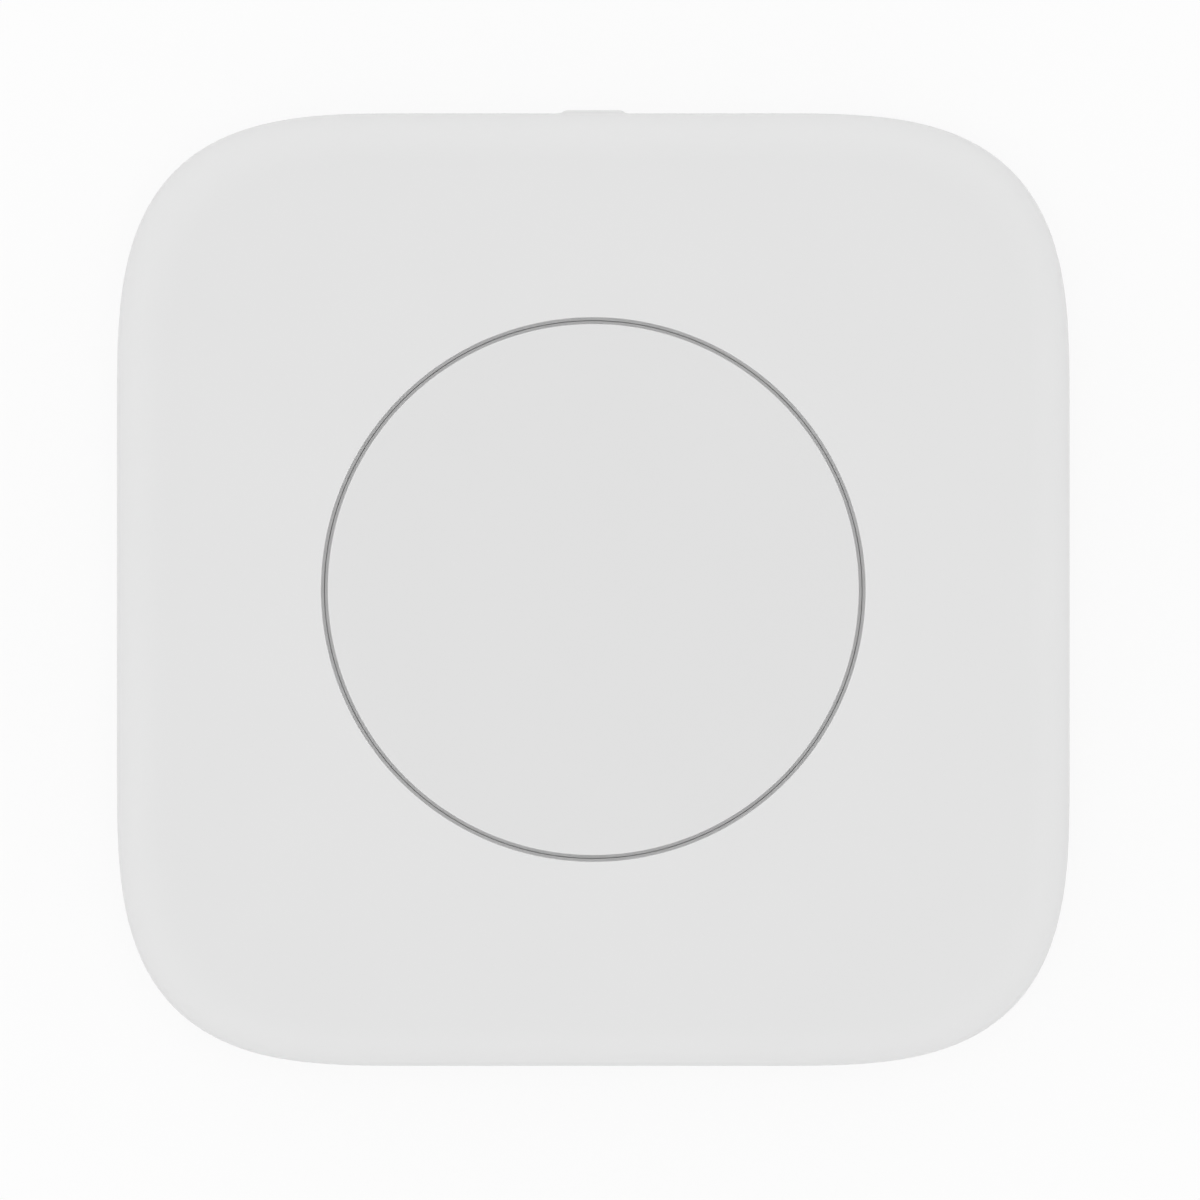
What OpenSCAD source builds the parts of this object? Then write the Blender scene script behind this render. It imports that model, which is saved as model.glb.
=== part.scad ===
// Smart button: a coin-cell push button for switching things over the radio.
// A round button sits flush in a rounded-square case, which plugs onto a stick-down rear cover.
// Millimetres. +Z points out of the button, +Y towards the pry tab, and z = 0 is the sticky face.

/* [Case] */
// Width of the case, left to right
case_w = 45; // [43:0.5:60]
// Length of the case, up to the pry tab's side
case_l = 45; // [43:0.5:60]
// Length of side that each corner curve takes
corner_reach = 14; // [10:0.5:18]
// Squareness of the corner curve, where 2 is a plain arc
corner_power = 3.2; // [2.4:0.1:4]
// Thickness of the case's side walls
wall = 1.6; // [1.4:0.1:2]
// Thickness of the front wall around the button
roof_t = 1.6; // [1.2:0.1:2]
// How far the sides lean in from the seam to the front edge
side_draft = 0.15; // [0:0.05:0.5]
// Rounding of the front edge
front_edge_r = 2.2; // [2.1:0.1:3.2]
// Radius of the slightly domed front
crown_r = 560; // [400:10:900]
// Visible seam between the case and the rear cover
seam_gap = 0.12; // [0.05:0.01:0.2]

/* [Rear cover] */
// Thickness of the rear cover's floor
floor_t = 1.2; // [1:0.1:1.8]
// Height of the rear cover's wall above its floor
cover_wall_h = 1.8; // [1.4:0.1:2.4]
// Rounding of the back edge
back_edge_r = 1.3; // [0.8:0.1:1.6]
// Thickness of the case's lip outside the rear cover's tongue
lip_t = 0.7; // [0.5:0.05:0.8]
// Height of the tongue that plugs into the case
tongue_h = 1.6; // [1:0.1:2]
// Running clearance between the tongue and the case
tongue_clear = 0.08; // [0.05:0.01:0.15]
// Width of the pry tab
tab_w = 2.9; // [2:0.1:5]
// How far the pry tab stands out of the case's side
tab_proud = 0.15; // [0.05:0.05:0.5]
// Width of the fingernail notch above the pry tab
notch_w = 8; // [5:0.5:12]
// Height of the fingernail notch
notch_h = 0.7; // [0.4:0.1:1]
// Thickness of the adhesive pad
pad_t = 0.8; // [0.6:0.1:1.2]
// Depth of the pad's recess in the rear cover
pad_recess = 0.4; // [0.2:0.05:0.5]
// Distance from the case's side to the pad's edge
pad_inset = 5; // [4:0.5:8]

// Thickness of the stiffening ribs in the rear cover and the button
rib_w = 0.9; // [0.6:0.1:1.2]
// Height of the rear cover's ribs
rib_h = 0.8; // [0.4:0.1:0.9]
// Diameter of the stop under the coin cell
cell_stop_d = 6; // [4:0.5:8]

/* [Button] */
// Diameter of the ring gap around the button, at its middle
button_d = 25.3; // [24:0.1:28]
// Width of the ring gap
button_gap = 0.22; // [0.12:0.02:0.3]
// Travel of the button
button_travel = 0.3; // [0.2:0.05:0.4]
// Thickness of the button at its edge
cap_t = 1.2; // [1:0.1:1.6]
// Thickness of the button's skirt
cap_wall = 1.2; // [1:0.1:1.4]
// How far the button's flange reaches under the case
flange_reach = 0.9; // [0.6:0.1:1.2]
// Thickness of the button's flange
flange_t = 0.7; // [0.5:0.1:1]
// Rounding of the button's and the opening's edges
rim_break = 0.12; // [0.05:0.01:0.2]
// Length of the post under the button
post_h = 0.8; // [0.5:0.1:1.5]
// Diameter of the post under the button
post_d = 4; // [3:0.2:6]
// Thickness of the silicone pad on the post
soft_pad_t = 0.5; // [0.3:0.1:0.8]
// Number of stiffening ribs under the button
cap_ribs = 6; // [3:1:8]
// Thickness of the collar that guides the button
collar_t = 1.2; // [0.8:0.1:1.4]
// Free height of the return spring
spring_h = 1; // [0.8:0.05:1.4]
// Thickness of the return spring's sheet
spring_t = 0.2; // [0.15:0.05:0.25]
// Number of fingers on the return spring
spring_fingers = 4; // [3:1:5]
// Length of the return spring's fingers
finger_l = 7; // [5:0.5:9]

/* [Board] */
// Thickness of the circuit board
board_t = 1; // [0.8:0.1:1.6]
// Gap between the circuit board and the case's walls
board_clear = 1.7; // [1.2:0.1:2.5]
// Distance along the diagonal from the case's corner to a screw
boss_inset = 7; // [6:0.5:8]
// Diameter of the case's screw bosses
boss_d = 4.4; // [3.6:0.2:5]
// Diameter of the screws' shanks
screw_d = 1.4; // [1.2:0.1:2]
// Diameter of the screws' heads
screw_head_d = 3; // [2.4:0.2:3.6]
// Height of the screws' heads
screw_head_h = 0.9; // [0.6:0.1:1.2]
// How deep the screws bite into the bosses
screw_bite = 2; // [1:0.1:2.2]
// Thickness of the light ring's floor
ring_floor_t = 0.7; // [0.5:0.1:1]
// Thickness of the light ring's rim
ring_rim_t = 1.1; // [0.8:0.1:1.4]
// Width of the light ring's arms
arm_w = 3.4; // [2.4:0.2:3.4]
// Diameter of the pegs that locate the cell holder
peg_d = 1.2; // [0.8:0.1:1.4]

/* [Tactile switch] */
// Side of the tactile switch
switch_w = 6; // [5.2:0.2:6.2]
// Height of the tactile switch with its plunger
switch_h = 2.5; // [2.4:0.1:3.5]
// Diameter of the tactile switch's plunger
plunger_d = 3.4; // [2.6:0.2:3.6]
// How far the plunger's foot spreads under the frame
plunger_foot = 0.5; // [0.3:0.05:0.6]
// Thickness of the plunger's foot
plunger_foot_t = 0.4; // [0.3:0.05:0.5]
// Room left under the plunger at the end of its travel
plunger_spare = 0.25; // [0.2:0.05:0.3]
// How far the plunger still stands out when it is pressed
plunger_stand = 0.45; // [0.3:0.05:0.6]
// Thickness of the switch's steel frame
frame_t = 0.25; // [0.15:0.05:0.3]
// Thickness of the snap dome
dome_t = 0.08; // [0.05:0.01:0.12]
// Width of the switch's leads
lead_w = 0.7; // [0.5:0.1:1]
// Thickness of the switch's leads
lead_t = 0.2; // [0.15:0.05:0.25]
// Length of the leads' feet
lead_out = 1; // [0.6:0.1:1.5]
// Distance between two leads on one side
lead_pitch = 4.5; // [3.5:0.1:5]

/* [Small parts] */
// Side of the radio chip
chip_w = 5; // [4:0.5:5.5]
// Height of the radio chip
chip_h = 0.85; // [0.7:0.05:1.2]
// Diameter of the mark at the radio chip's first pin
pin_dot_d = 0.6; // [0.4:0.1:0.8]
// Width of the crystal
crystal_w = 2.5; // [2:0.1:3.2]
// Length of the crystal
crystal_l = 3.2; // [2.5:0.1:4]
// Height of the crystal
crystal_h = 0.8; // [0.6:0.05:1]
// Width of the chip antenna
antenna_w = 7; // [5:0.5:9]
// Length of the chip antenna
antenna_l = 2; // [1.6:0.1:2.5]
// Height of the chip antenna
antenna_h = 1; // [0.8:0.1:1.2]
// Width of the lamp, the capacitors and the resistors
small_w = 0.8; // [0.6:0.1:1]
// Length of the lamp, the capacitors and the resistors
small_l = 1.6; // [1.2:0.1:2]
// Height of the lamp
lamp_h = 0.6; // [0.4:0.05:0.65]
// Length of the lamp's lens
lens_l = 1.1; // [0.8:0.05:1.15]
// Height of the capacitors
capacitor_h = 0.8; // [0.5:0.05:1]
// Height of the resistors
resistor_h = 0.45; // [0.3:0.05:0.6]
// Number of capacitors, and of resistors, in a row
small_count = 4; // [2:1:5]
// Distance between neighbours in a row
small_gap = 0.7; // [0.5:0.1:1]
// Distance between larger parts
part_gap = 1.2; // [0.8:0.1:1.5]

/* [Battery] */
// Diameter of the coin cell
cell_d = 20; // [18:0.5:22]
// Thickness of the coin cell
cell_h = 3.2; // [2.5:0.1:4]
// Gap between the rear cover and what hangs over it
cell_clear = 0.25; // [0.15:0.05:0.5]
// Thickness of the battery contacts' sheet
contact_t = 0.25; // [0.2:0.05:0.3]
// Width of the battery contacts
contact_w = 4; // [3:0.5:6]
// Height that the negative contact takes
spring_contact_h = 0.5; // [0.45:0.05:0.8]
// Radial play of the coin cell in its holder
cell_play = 0.2; // [0.1:0.05:0.4]
// Thickness of the cell holder's wall
holder_wall = 1.6; // [1.2:0.1:2]
// How far the coin cell stands out of its holder, for a fingernail
cell_grip_h = 0.5; // [0.3:0.1:1]
// Width of the notch for taking out the coin cell
thumb_w = 9; // [7:0.5:12]
// Length of the positive contact's foot
foot_l = 2; // [1.5:0.1:2.5]
// How far the positive contact and the clip reach under the coin cell
hook_reach = 3; // [2:0.1:4]
// Length of the negative contact's prongs
prong_l = 4; // [3:0.5:5]
// Width of the holder's clip opposite the positive contact
clip_w = 5; // [3:0.5:6]
// Thickness of the coin cell's can
can_t = 0.3; // [0.2:0.05:0.35]
// Thickness of the coin cell's sealing ring
gasket_t = 0.35; // [0.25:0.05:0.5]
// Thickness of the coin cell's cap
cell_cap_t = 0.25; // [0.2:0.05:0.35]
// How far the can ends below the coin cell's negative face
crimp_drop = 0.5; // [0.4:0.05:0.7]
// Thickness of the lithium disc
lithium_t = 0.7; // [0.5:0.05:0.8]
// Thickness of the separator
separator_t = 0.12; // [0.05:0.01:0.2]

/* [Hidden] */
$fn = 72;

// Steps along each corner curve, and along each edge rounding
corner_steps = 12;
edge_steps = 5;
// Overlap that lets a cut run past a face, or one solid root in another
over = 0.2;
// Small gaps: between touching faces of moving pieces, and round a shank or peg in its hole
touch_gap = 0.05;
fit_gap = 0.02;
hole_gap = 0.3;

// Colours, as the photograph shows the outside and as such parts come inside
case_white = [0.89, 0.89, 0.89];
cap_white = [0.88, 0.88, 0.88];
tape_white = [0.93, 0.93, 0.91];
board_green = [0.05, 0.30, 0.17];
plastic_black = [0.08, 0.08, 0.09];
nickel = [0.75, 0.74, 0.71];
steel = [0.68, 0.69, 0.71];
ceramic_tan = [0.62, 0.52, 0.40];
ceramic_white = [0.90, 0.89, 0.85];
silicone_grey = [0.45, 0.46, 0.48];
light_white = [0.92, 0.94, 0.96];
seal_blue = [0.35, 0.45, 0.60];
pellet_black = [0.12, 0.12, 0.12];
film_white = [0.95, 0.95, 0.93];

// Levels, built up from the sticky face
cover_z0 = pad_t - pad_recess;
floor_z1 = cover_z0 + floor_t;
seam_z = floor_z1 + cover_wall_h;
cell_z0 = floor_z1 + cell_clear + contact_t;
cell_z1 = cell_z0 + cell_h;
board_z0 = cell_z1 + spring_contact_h;
board_z1 = board_z0 + board_t;
ring_z1 = board_z1 + ring_floor_t;
flange_z0 = ring_z1 + spring_h;
flange_z1 = flange_z0 + flange_t;
collar_z0 = flange_z1 + touch_gap;
plunger_z1 = board_z1 + switch_h;
soft_pad_z0 = plunger_z1 + touch_gap;
post_z0 = soft_pad_z0 + soft_pad_t;
cap_z0 = post_z0 + post_h;
cap_edge_z = cap_z0 + cap_t;

// Radii of the button and of what surrounds it
cap_r = (button_d - button_gap) / 2;
bore_r = (button_d + button_gap) / 2;
collar_r = bore_r + collar_t;
skirt_r = cap_r - cap_wall;
flange_r = bore_r + flange_reach;
cell_r = cell_d / 2;
holder_r0 = cell_r + cell_play;
holder_r1 = holder_r0 + holder_wall;

// The front is part of a large sphere, so the button and the case share one dome
function dome_drop(r) = r * r / (2 * crown_r);
case_h = cap_edge_z + dome_drop(cap_r);
function dome_z(r) = case_h - dome_drop(r);
roof_z0 = dome_z(case_w / 2) - roof_t;

// The corner curve is a superellipse, and this is its point on the diagonal
diagonal_drop = corner_reach * (1 - pow(0.5, 1 / corner_power));
boss_x = case_w / 2 - diagonal_drop - boss_inset / sqrt(2);
boss_y = case_l / 2 - diagonal_drop - boss_inset / sqrt(2);

// Places on the back of the board, midway between the cell holder and the board's edge
board_inset = wall + board_clear;
strip_x = (holder_r1 + case_w / 2 - board_inset) / 2;
strip_y = (holder_r1 + case_l / 2 - board_inset) / 2;

// Outline of the case moved in by a distance, as points from the middle of the right side
function corner_r(a) = pow(pow(cos(a), corner_power) + pow(sin(a), corner_power), -1 / corner_power);
function corner(half_w, half_l, reach) = [
    for (i = [0:corner_steps])
        let (a = 90 * i / corner_steps, r = reach * corner_r(a))
        [half_w - reach + r * cos(a), half_l - reach + r * sin(a)]
];
function flipped(points) = [for (i = [len(points) - 1:-1:0]) points[i]];
function outline(inset) =
    let (c = corner(case_w / 2 - inset, case_l / 2 - inset, max(corner_reach - inset, 1)))
    concat(
        c,
        [for (p = flipped(c)) [-p.x, p.y]],
        [for (p = c) [-p.x, -p.y]],
        [for (p = flipped(c)) [p.x, -p.y]]
    );
function circle_like_outline(r) = [for (p = outline(0)) r * p / norm(p)];

// Closed skin over rings of equally many points, from the lowest ring to the highest
module skin(rings) {
    n = len(rings[0]);
    last = len(rings) - 1;
    low = [0, 0, min([for (p = rings[0]) p.z])];
    high = [0, 0, max([for (p = rings[last]) p.z])];
    points = concat([low, high], [for (ring = rings) each ring]);
    function at(ring, i) = 2 + ring * n + i % n;
    polyhedron(
        points = points,
        faces = concat(
            [for (i = [0:n - 1]) [0, at(0, i), at(0, i + 1)]],
            [for (i = [0:n - 1]) [1, at(last, i + 1), at(last, i)]],
            [for (k = [0:last - 1], i = [0:n - 1]) [at(k, i), at(k + 1, i), at(k + 1, i + 1)]],
            [for (k = [0:last - 1], i = [0:n - 1]) [at(k, i), at(k + 1, i + 1), at(k, i + 1)]]
        )
    );
}
function flat_ring(inset, z) = [for (p = outline(inset)) [p.x, p.y, z]];
function domed(points, drop) = [for (p = points) [p.x, p.y, dome_z(norm(p)) - drop]];

// Flat plate with the case's outline
module outline_plate(inset, z0, z1) {
    translate([0, 0, z0]) linear_extrude(z1 - z0) polygon(outline(inset));
}
module disc(r, z0, z1) {
    translate([0, 0, z0]) cylinder(r = r, h = z1 - z0);
}
module tube(r0, r1, z0, z1) {
    difference() {
        disc(r1, z0, z1);
        disc(r0, z0 - over, z1 + over);
    }
}
// Block centred on x and y
module block(w, l, z0, z1) {
    translate([-w / 2, -l / 2, z0]) cube([w, l, z1 - z0]);
}
module at_bosses() {
    for (sx = [-1, 1], sy = [-1, 1]) translate([sx * boss_x, sy * boss_y, 0]) children();
}

// Front housing: the domed rounded-square shell, its collar and its screw bosses
function edge_inset(i) = side_draft + front_edge_r * (1 - cos(90 * i / edge_steps));
function edge_drop(i) = front_edge_r * (1 - sin(90 * i / edge_steps));
function face_ring(share) =
    let (outer = outline(edge_inset(edge_steps)), inner = circle_like_outline(collar_r))
    [for (i = [0:len(outer) - 1]) outer[i] * (1 - share) + inner[i] * share];

module housing_outside() {
    skin(concat(
        [flat_ring(0, seam_z + seam_gap)],
        [for (i = [0:edge_steps]) domed(outline(edge_inset(i)), edge_drop(i))],
        [for (share = [0.5, 1]) domed(face_ring(share), 0)]
    ));
}
inner_edge_r = front_edge_r - wall;
function inner_inset(i) = wall + side_draft + inner_edge_r * (1 - cos(90 * i / edge_steps));
function inner_drop(i) = inner_edge_r * (1 - sin(90 * i / edge_steps));

module housing_cavity() {
    skin(concat(
        [flat_ring(wall, seam_z - over)],
        [for (i = [0:2:edge_steps]) flat_ring(inner_inset(i), roof_z0 - inner_drop(i))],
        [flat_ring(inner_inset(edge_steps), roof_z0)]
    ));
}
module front_housing() {
    color(case_white) difference() {
        union() {
            difference() {
                housing_outside();
                housing_cavity();
                outline_plate(lip_t, seam_z - over, seam_z + tongue_h + 2 * tongue_clear);
                translate([0, case_l / 2, 0])
                    block(notch_w, lip_t, seam_z - over, seam_z + seam_gap + notch_h);
            }
            disc(collar_r, collar_z0, roof_z0 + over);
            at_bosses() disc(boss_d / 2, ring_z1, roof_z0 + over);
        }
        disc(bore_r, collar_z0 - over, case_h + over);
        translate([0, 0, cap_edge_z - rim_break])
            cylinder(r1 = bore_r, r2 = bore_r + 2 * rim_break, h = 2 * rim_break);
        at_bosses() disc(screw_d / 2 + fit_gap, ring_z1 - over, ring_z1 + screw_bite + over);
    }
}

// Rear cover: a shallow tray with a tongue, a pry tab, ribs and the pad's recess
function back_inset(i) = back_edge_r * (1 - sin(90 * i / edge_steps));
function back_rise(i) = back_edge_r * (1 - cos(90 * i / edge_steps));
module rear_cover() {
    color(case_white) difference() {
        union() {
            difference() {
                union() {
                    skin(concat(
                        [for (i = [0:edge_steps]) flat_ring(back_inset(i), cover_z0 + back_rise(i))],
                        [flat_ring(0, seam_z)]
                    ));
                    outline_plate(lip_t + tongue_clear, floor_z1, seam_z + tongue_h);
                    pry_tab();
                }
                outline_plate(wall, floor_z1, seam_z + tongue_h + over);
            }
            cover_ribs();
            disc(cell_stop_d / 2, floor_z1 - over, floor_z1 + cell_clear);
        }
        outline_plate(pad_inset, cover_z0 - over, cover_z0 + pad_recess);
    }
}
module pry_tab() {
    translate([0, case_l / 2, 0]) block(tab_w, 2 * tab_proud, cover_z0 + back_edge_r, seam_z);
}
// A ring rib clear of the cell's contact, and a rib from it to each corner
ring_rib_r = holder_r1 + contact_t + 2 * hole_gap;
module cover_ribs() {
    tube(ring_rib_r, ring_rib_r + rib_w, floor_z1 - over, floor_z1 + rib_h);
    intersection() {
        for (a = [45:90:315]) rotate(a) translate([ring_rib_r + rib_w / 2, -rib_w / 2, floor_z1 - over])
            cube([case_w, rib_w, rib_h + over]);
        outline_plate(wall - over, floor_z1 - over, seam_z);
    }
}
module adhesive_pad() {
    color(tape_white) outline_plate(pad_inset + fit_gap, 0, cover_z0 + pad_recess);
}

// Button: a domed cap with a skirt and a flange that the collar stops
dome_steps = 8;
module button_cap() {
    dome_r = cap_r - rim_break;
    color(cap_white) {
        rotate_extrude() polygon(concat(
            [for (i = [0:dome_steps]) let (r = dome_r * i / dome_steps) [r, dome_z(r)]],
            [
                [cap_r, cap_edge_z - rim_break], [cap_r, flange_z1], [flange_r, flange_z1],
                [flange_r, flange_z0], [skirt_r, flange_z0], [skirt_r, cap_z0], [0, cap_z0]
            ]
        ));
        disc(post_d / 2, post_z0, cap_z0 + over);
        for (i = [0:cap_ribs - 1]) rotate(360 * i / cap_ribs)
            translate([0, -rib_w / 2, cap_z0 - post_h / 2])
                cube([skirt_r + over, rib_w, post_h / 2 + over]);
    }
}
module button_pad() {
    color(silicone_grey) disc(post_d / 2 - touch_gap, soft_pad_z0, post_z0);
}

// Return spring: a steel ring with fingers that lift the button against its stop
spring_r0 = skirt_r;
spring_r1 = bore_r + flange_reach / 2;
finger_w = (spring_r1 - spring_r0) / 2;
finger_lean = asin((spring_h - 1.5 * spring_t - touch_gap) / finger_l);
module return_spring() {
    color(steel) {
        tube(spring_r0, spring_r1, ring_z1, ring_z1 + spring_t);
        for (i = [0:spring_fingers - 1]) rotate(360 * i / spring_fingers)
            translate([(spring_r0 + spring_r1 - finger_w) / 2, -finger_l / 2, ring_z1 + spring_t / 2])
                rotate([finger_lean, 0, 0]) cube([finger_w, finger_l, spring_t]);
    }
}

// Light ring: a clear ring on the board that carries the spring and spreads the lamp's light
ring_r0 = spring_r0 - touch_gap;
ring_r1 = flange_r + hole_gap;
ring_r2 = ring_r1 + ring_rim_t;
ring_rim_h = spring_h + hole_gap;
rim_mid_r = (ring_r1 + ring_r2) / 2;
lamp_y = ring_r2 + small_l;
module light_ring() {
    inlet_y1 = lamp_y + small_l;
    rim_z1 = ring_z1 + ring_rim_h;
    color(light_white) {
        translate([0, 0, board_z1]) linear_extrude(ring_floor_t) difference() {
            union() {
                circle(r = ring_r2);
                for (sx = [-1, 1], sy = [-1, 1]) ring_arm(sx * boss_x, sy * boss_y);
            }
            circle(r = ring_r0);
            at_bosses() circle(r = screw_d / 2 + hole_gap);
        }
        tube(ring_r1, ring_r2 - touch_gap, ring_z1 - over, rim_z1);
        translate([0, (rim_mid_r + inlet_y1) / 2, 0])
            block(2 * small_l, inlet_y1 - rim_mid_r, ring_z1 + touch_gap, rim_z1 - touch_gap);
    }
}
module ring_arm(x, y) {
    translate([x, y]) circle(r = boss_d / 2);
    rotate(atan2(y, x)) translate([rim_mid_r, -arm_w / 2]) square([norm([x, y]) - rim_mid_r, arm_w]);
}

// Circuit board with its screw and peg holes
peg_r = (holder_r0 + holder_r1) / 2;
peg_angles = [100, 280];
module at_pegs() {
    for (a = peg_angles) rotate(a) translate([peg_r, 0, 0]) children();
}
module main_board() {
    color(board_green) difference() {
        outline_plate(board_inset, board_z0, board_z1);
        at_bosses() disc(screw_d / 2 + hole_gap, board_z0 - over, board_z1 + over);
        at_pegs() disc(peg_d / 2 + touch_gap, board_z0 - over, board_z1 + over);
    }
}
module board_screws() {
    slot_w = screw_d / 3;
    slot_l = screw_d * 1.2;
    color(steel) at_bosses() difference() {
        union() {
            disc(screw_head_d / 2, board_z0 - screw_head_h, board_z0);
            disc(screw_d / 2, board_z0 - over, ring_z1 + screw_bite);
        }
        for (a = [0, 90]) rotate(a)
            block(slot_l, slot_w, board_z0 - screw_head_h - over, board_z0 - screw_head_h / 2);
    }
}

// Tactile switch: a base, its leads, a snap dome, a plunger and a steel frame
frame_z1 = plunger_z1 - button_travel - plunger_stand;
frame_z0 = frame_z1 - frame_t;
foot_z1 = frame_z0 - touch_gap;
foot_z0 = foot_z1 - plunger_foot_t;
dome_bed_z = foot_z0 - button_travel - plunger_spare;
dome_rise = foot_z0 - dome_bed_z - touch_gap - dome_t;
foot_r = plunger_d / 2 + plunger_foot;
well_r = foot_r + 2 * touch_gap;
module switch_base() {
    color(plastic_black) difference() {
        block(switch_w, switch_w, board_z1 + touch_gap, frame_z0);
        disc(well_r, dome_bed_z, frame_z0 + over);
    }
}
module switch_terminals() {
    color(nickel) for (sx = [-1, 1], sy = [-1, 1])
        translate([sx * switch_w / 2, sy * lead_pitch / 2, 0]) {
            translate([sx * (lead_t + lead_out) / 2, 0, 0])
                block(lead_out + lead_t, lead_w, board_z1, board_z1 + lead_t);
            translate([sx * lead_t / 2, 0, 0]) block(lead_t, lead_w, board_z1, dome_bed_z);
        }
}
function arc_points(r, half_angle) =
    [for (i = [0:dome_steps]) let (a = half_angle * i / dome_steps) [r * sin(a), r * cos(a)]];
module switch_dome() {
    rim_r = well_r - touch_gap;
    ball_r = (rim_r * rim_r + dome_rise * dome_rise) / (2 * dome_rise);
    half_angle = asin(rim_r / ball_r);
    color(steel) translate([0, 0, dome_bed_z + dome_t + dome_rise - ball_r]) rotate_extrude()
        polygon(concat(arc_points(ball_r, half_angle), flipped(arc_points(ball_r - dome_t, half_angle))));
}
module switch_plunger() {
    color(plastic_black) {
        disc(plunger_d / 2, foot_z0, plunger_z1);
        disc(foot_r, foot_z0, foot_z1);
    }
}
module switch_frame() {
    color(steel) difference() {
        block(switch_w, switch_w, frame_z0, frame_z1);
        disc(plunger_d / 2 + 2 * touch_gap, frame_z0 - over, frame_z1 + over);
    }
}

// Small parts on the board
module status_led() {
    color(light_white) translate([0, lamp_y, 0]) {
        block(small_l, small_w, board_z1, board_z1 + lamp_h / 2);
        block(lens_l, small_w, board_z1, board_z1 + lamp_h);
    }
}
module radio_chip() {
    color(plastic_black) translate([0, strip_y, 0]) difference() {
        block(chip_w, chip_w, board_z0 - chip_h, board_z0);
        translate([chip_w / 2 - pin_dot_d, chip_w / 2 - pin_dot_d, 0])
            disc(pin_dot_d / 2, board_z0 - chip_h - over, board_z0 - chip_h + touch_gap);
    }
}
crystal_x = chip_w / 2 + part_gap + crystal_w / 2;
module crystal() {
    color(nickel) translate([-crystal_x, strip_y, 0]) {
        block(crystal_w, crystal_l, board_z0 - crystal_h / 2, board_z0);
        block(crystal_w - hole_gap, crystal_l - hole_gap, board_z0 - crystal_h, board_z0);
    }
}
module chip_antenna() {
    color(ceramic_white) translate([0, -strip_y - antenna_l / 2, 0])
        block(antenna_w, antenna_l, board_z0 - antenna_h, board_z0);
}
small_pitch = small_w + small_gap;
// A column of small parts on each side of a middle line, standing off from it by a distance
module small_parts(h, x, y) {
    for (side = [-1, 1], i = [0:small_count - 1])
        translate([side * x, y - i * small_pitch, 0])
            block(small_l, small_w, board_z0 - h, board_z0);
}
module capacitors() {
    row_x = max(chip_w, antenna_w) / 2 + part_gap + small_w;
    color(ceramic_tan) rotate(90) small_parts(capacitor_h, strip_y, -row_x);
}
module resistors() {
    color(plastic_black) small_parts(resistor_h, strip_x, -contact_w / 2 - foot_l - part_gap);
}

// Battery: the cell holder, the contacts and the coin cell, positive face to the rear
holder_z0 = cell_z0 + cell_grip_h;
hook_z1 = cell_z0 - fit_gap;
hook_z0 = hook_z1 - contact_t;
leg_x = holder_r1 + touch_gap;
module cell_holder() {
    color(plastic_black) {
        difference() {
            tube(holder_r0, holder_r1, holder_z0, board_z0);
            translate([0, -holder_r1, 0])
                block(thumb_w, cell_r, holder_z0 - over, cell_z1 - contact_t);
            translate([holder_r1, 0, 0])
                block(cell_r, contact_w + 2 * hole_gap, holder_z0 - over, board_z0 - contact_t - hole_gap);
        }
        holder_clip();
        at_pegs() disc(peg_d / 2, board_z0 - over, board_z1);
    }
}
module holder_clip() {
    intersection() {
        union() {
            tube(holder_r0, holder_r1, hook_z0, holder_z0 + over);
            tube(cell_r - hook_reach / 2, holder_r1, hook_z0, hook_z1);
        }
        translate([-holder_r1, 0, 0]) block(cell_r, clip_w, hook_z0, holder_z0 + over);
    }
}
module positive_contact() {
    color(nickel) {
        translate([leg_x + foot_l / 2, 0, 0]) block(foot_l, contact_w, board_z0 - contact_t, board_z0);
        translate([leg_x + contact_t / 2, 0, 0]) block(contact_t, contact_w, hook_z0, board_z0);
        translate([cell_r - hook_reach, -contact_w / 2, hook_z0])
            cube([leg_x + contact_t - cell_r + hook_reach, contact_w, contact_t]);
    }
}
module negative_contact() {
    prong_lean = asin((spring_contact_h - contact_t - touch_gap) / prong_l);
    color(nickel) {
        block(contact_w, contact_w, board_z0 - contact_t, board_z0);
        for (a = [0, 180]) rotate(a) translate([contact_w / 2 - over, -contact_w / 4, board_z0 - contact_t])
            rotate([0, prong_lean, 0]) cube([prong_l, contact_w / 2, contact_t]);
    }
}

// Coin cell: a can and a cap with a sealing ring between, round the pellet, the separator and the lithium
cell_cap_r = cell_r - can_t - gasket_t;
cell_core_r = cell_cap_r - cell_cap_t;
core_z0 = cell_z0 + can_t;
core_z1 = cell_z1 - cell_cap_t;
cap_rim_z = core_z0 + gasket_t;
lithium_z0 = core_z1 - lithium_t;
separator_z0 = lithium_z0 - separator_t;
module cell_can() {
    color(nickel) difference() {
        disc(cell_r, cell_z0, cell_z1 - crimp_drop);
        disc(cell_r - can_t, core_z0, cell_z1);
    }
}
module cell_gasket() {
    color(seal_blue) difference() {
        disc(cell_r - can_t, core_z0, cell_z1 - crimp_drop / 2);
        disc(cell_core_r, core_z0 - over, cell_z1);
        disc(cell_cap_r, cap_rim_z, cell_z1);
    }
}
module cell_cap() {
    color(nickel) difference() {
        disc(cell_cap_r, cap_rim_z, cell_z1);
        disc(cell_core_r, cap_rim_z - over, core_z1);
    }
}
module cathode_pellet() {
    color(pellet_black) disc(cell_core_r - touch_gap, core_z0, separator_z0);
}
module cell_separator() {
    color(film_white) disc(cell_core_r - touch_gap, separator_z0, lithium_z0);
}
module lithium_disc() {
    color(steel) disc(cell_core_r - touch_gap, lithium_z0, core_z1);
}

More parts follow.
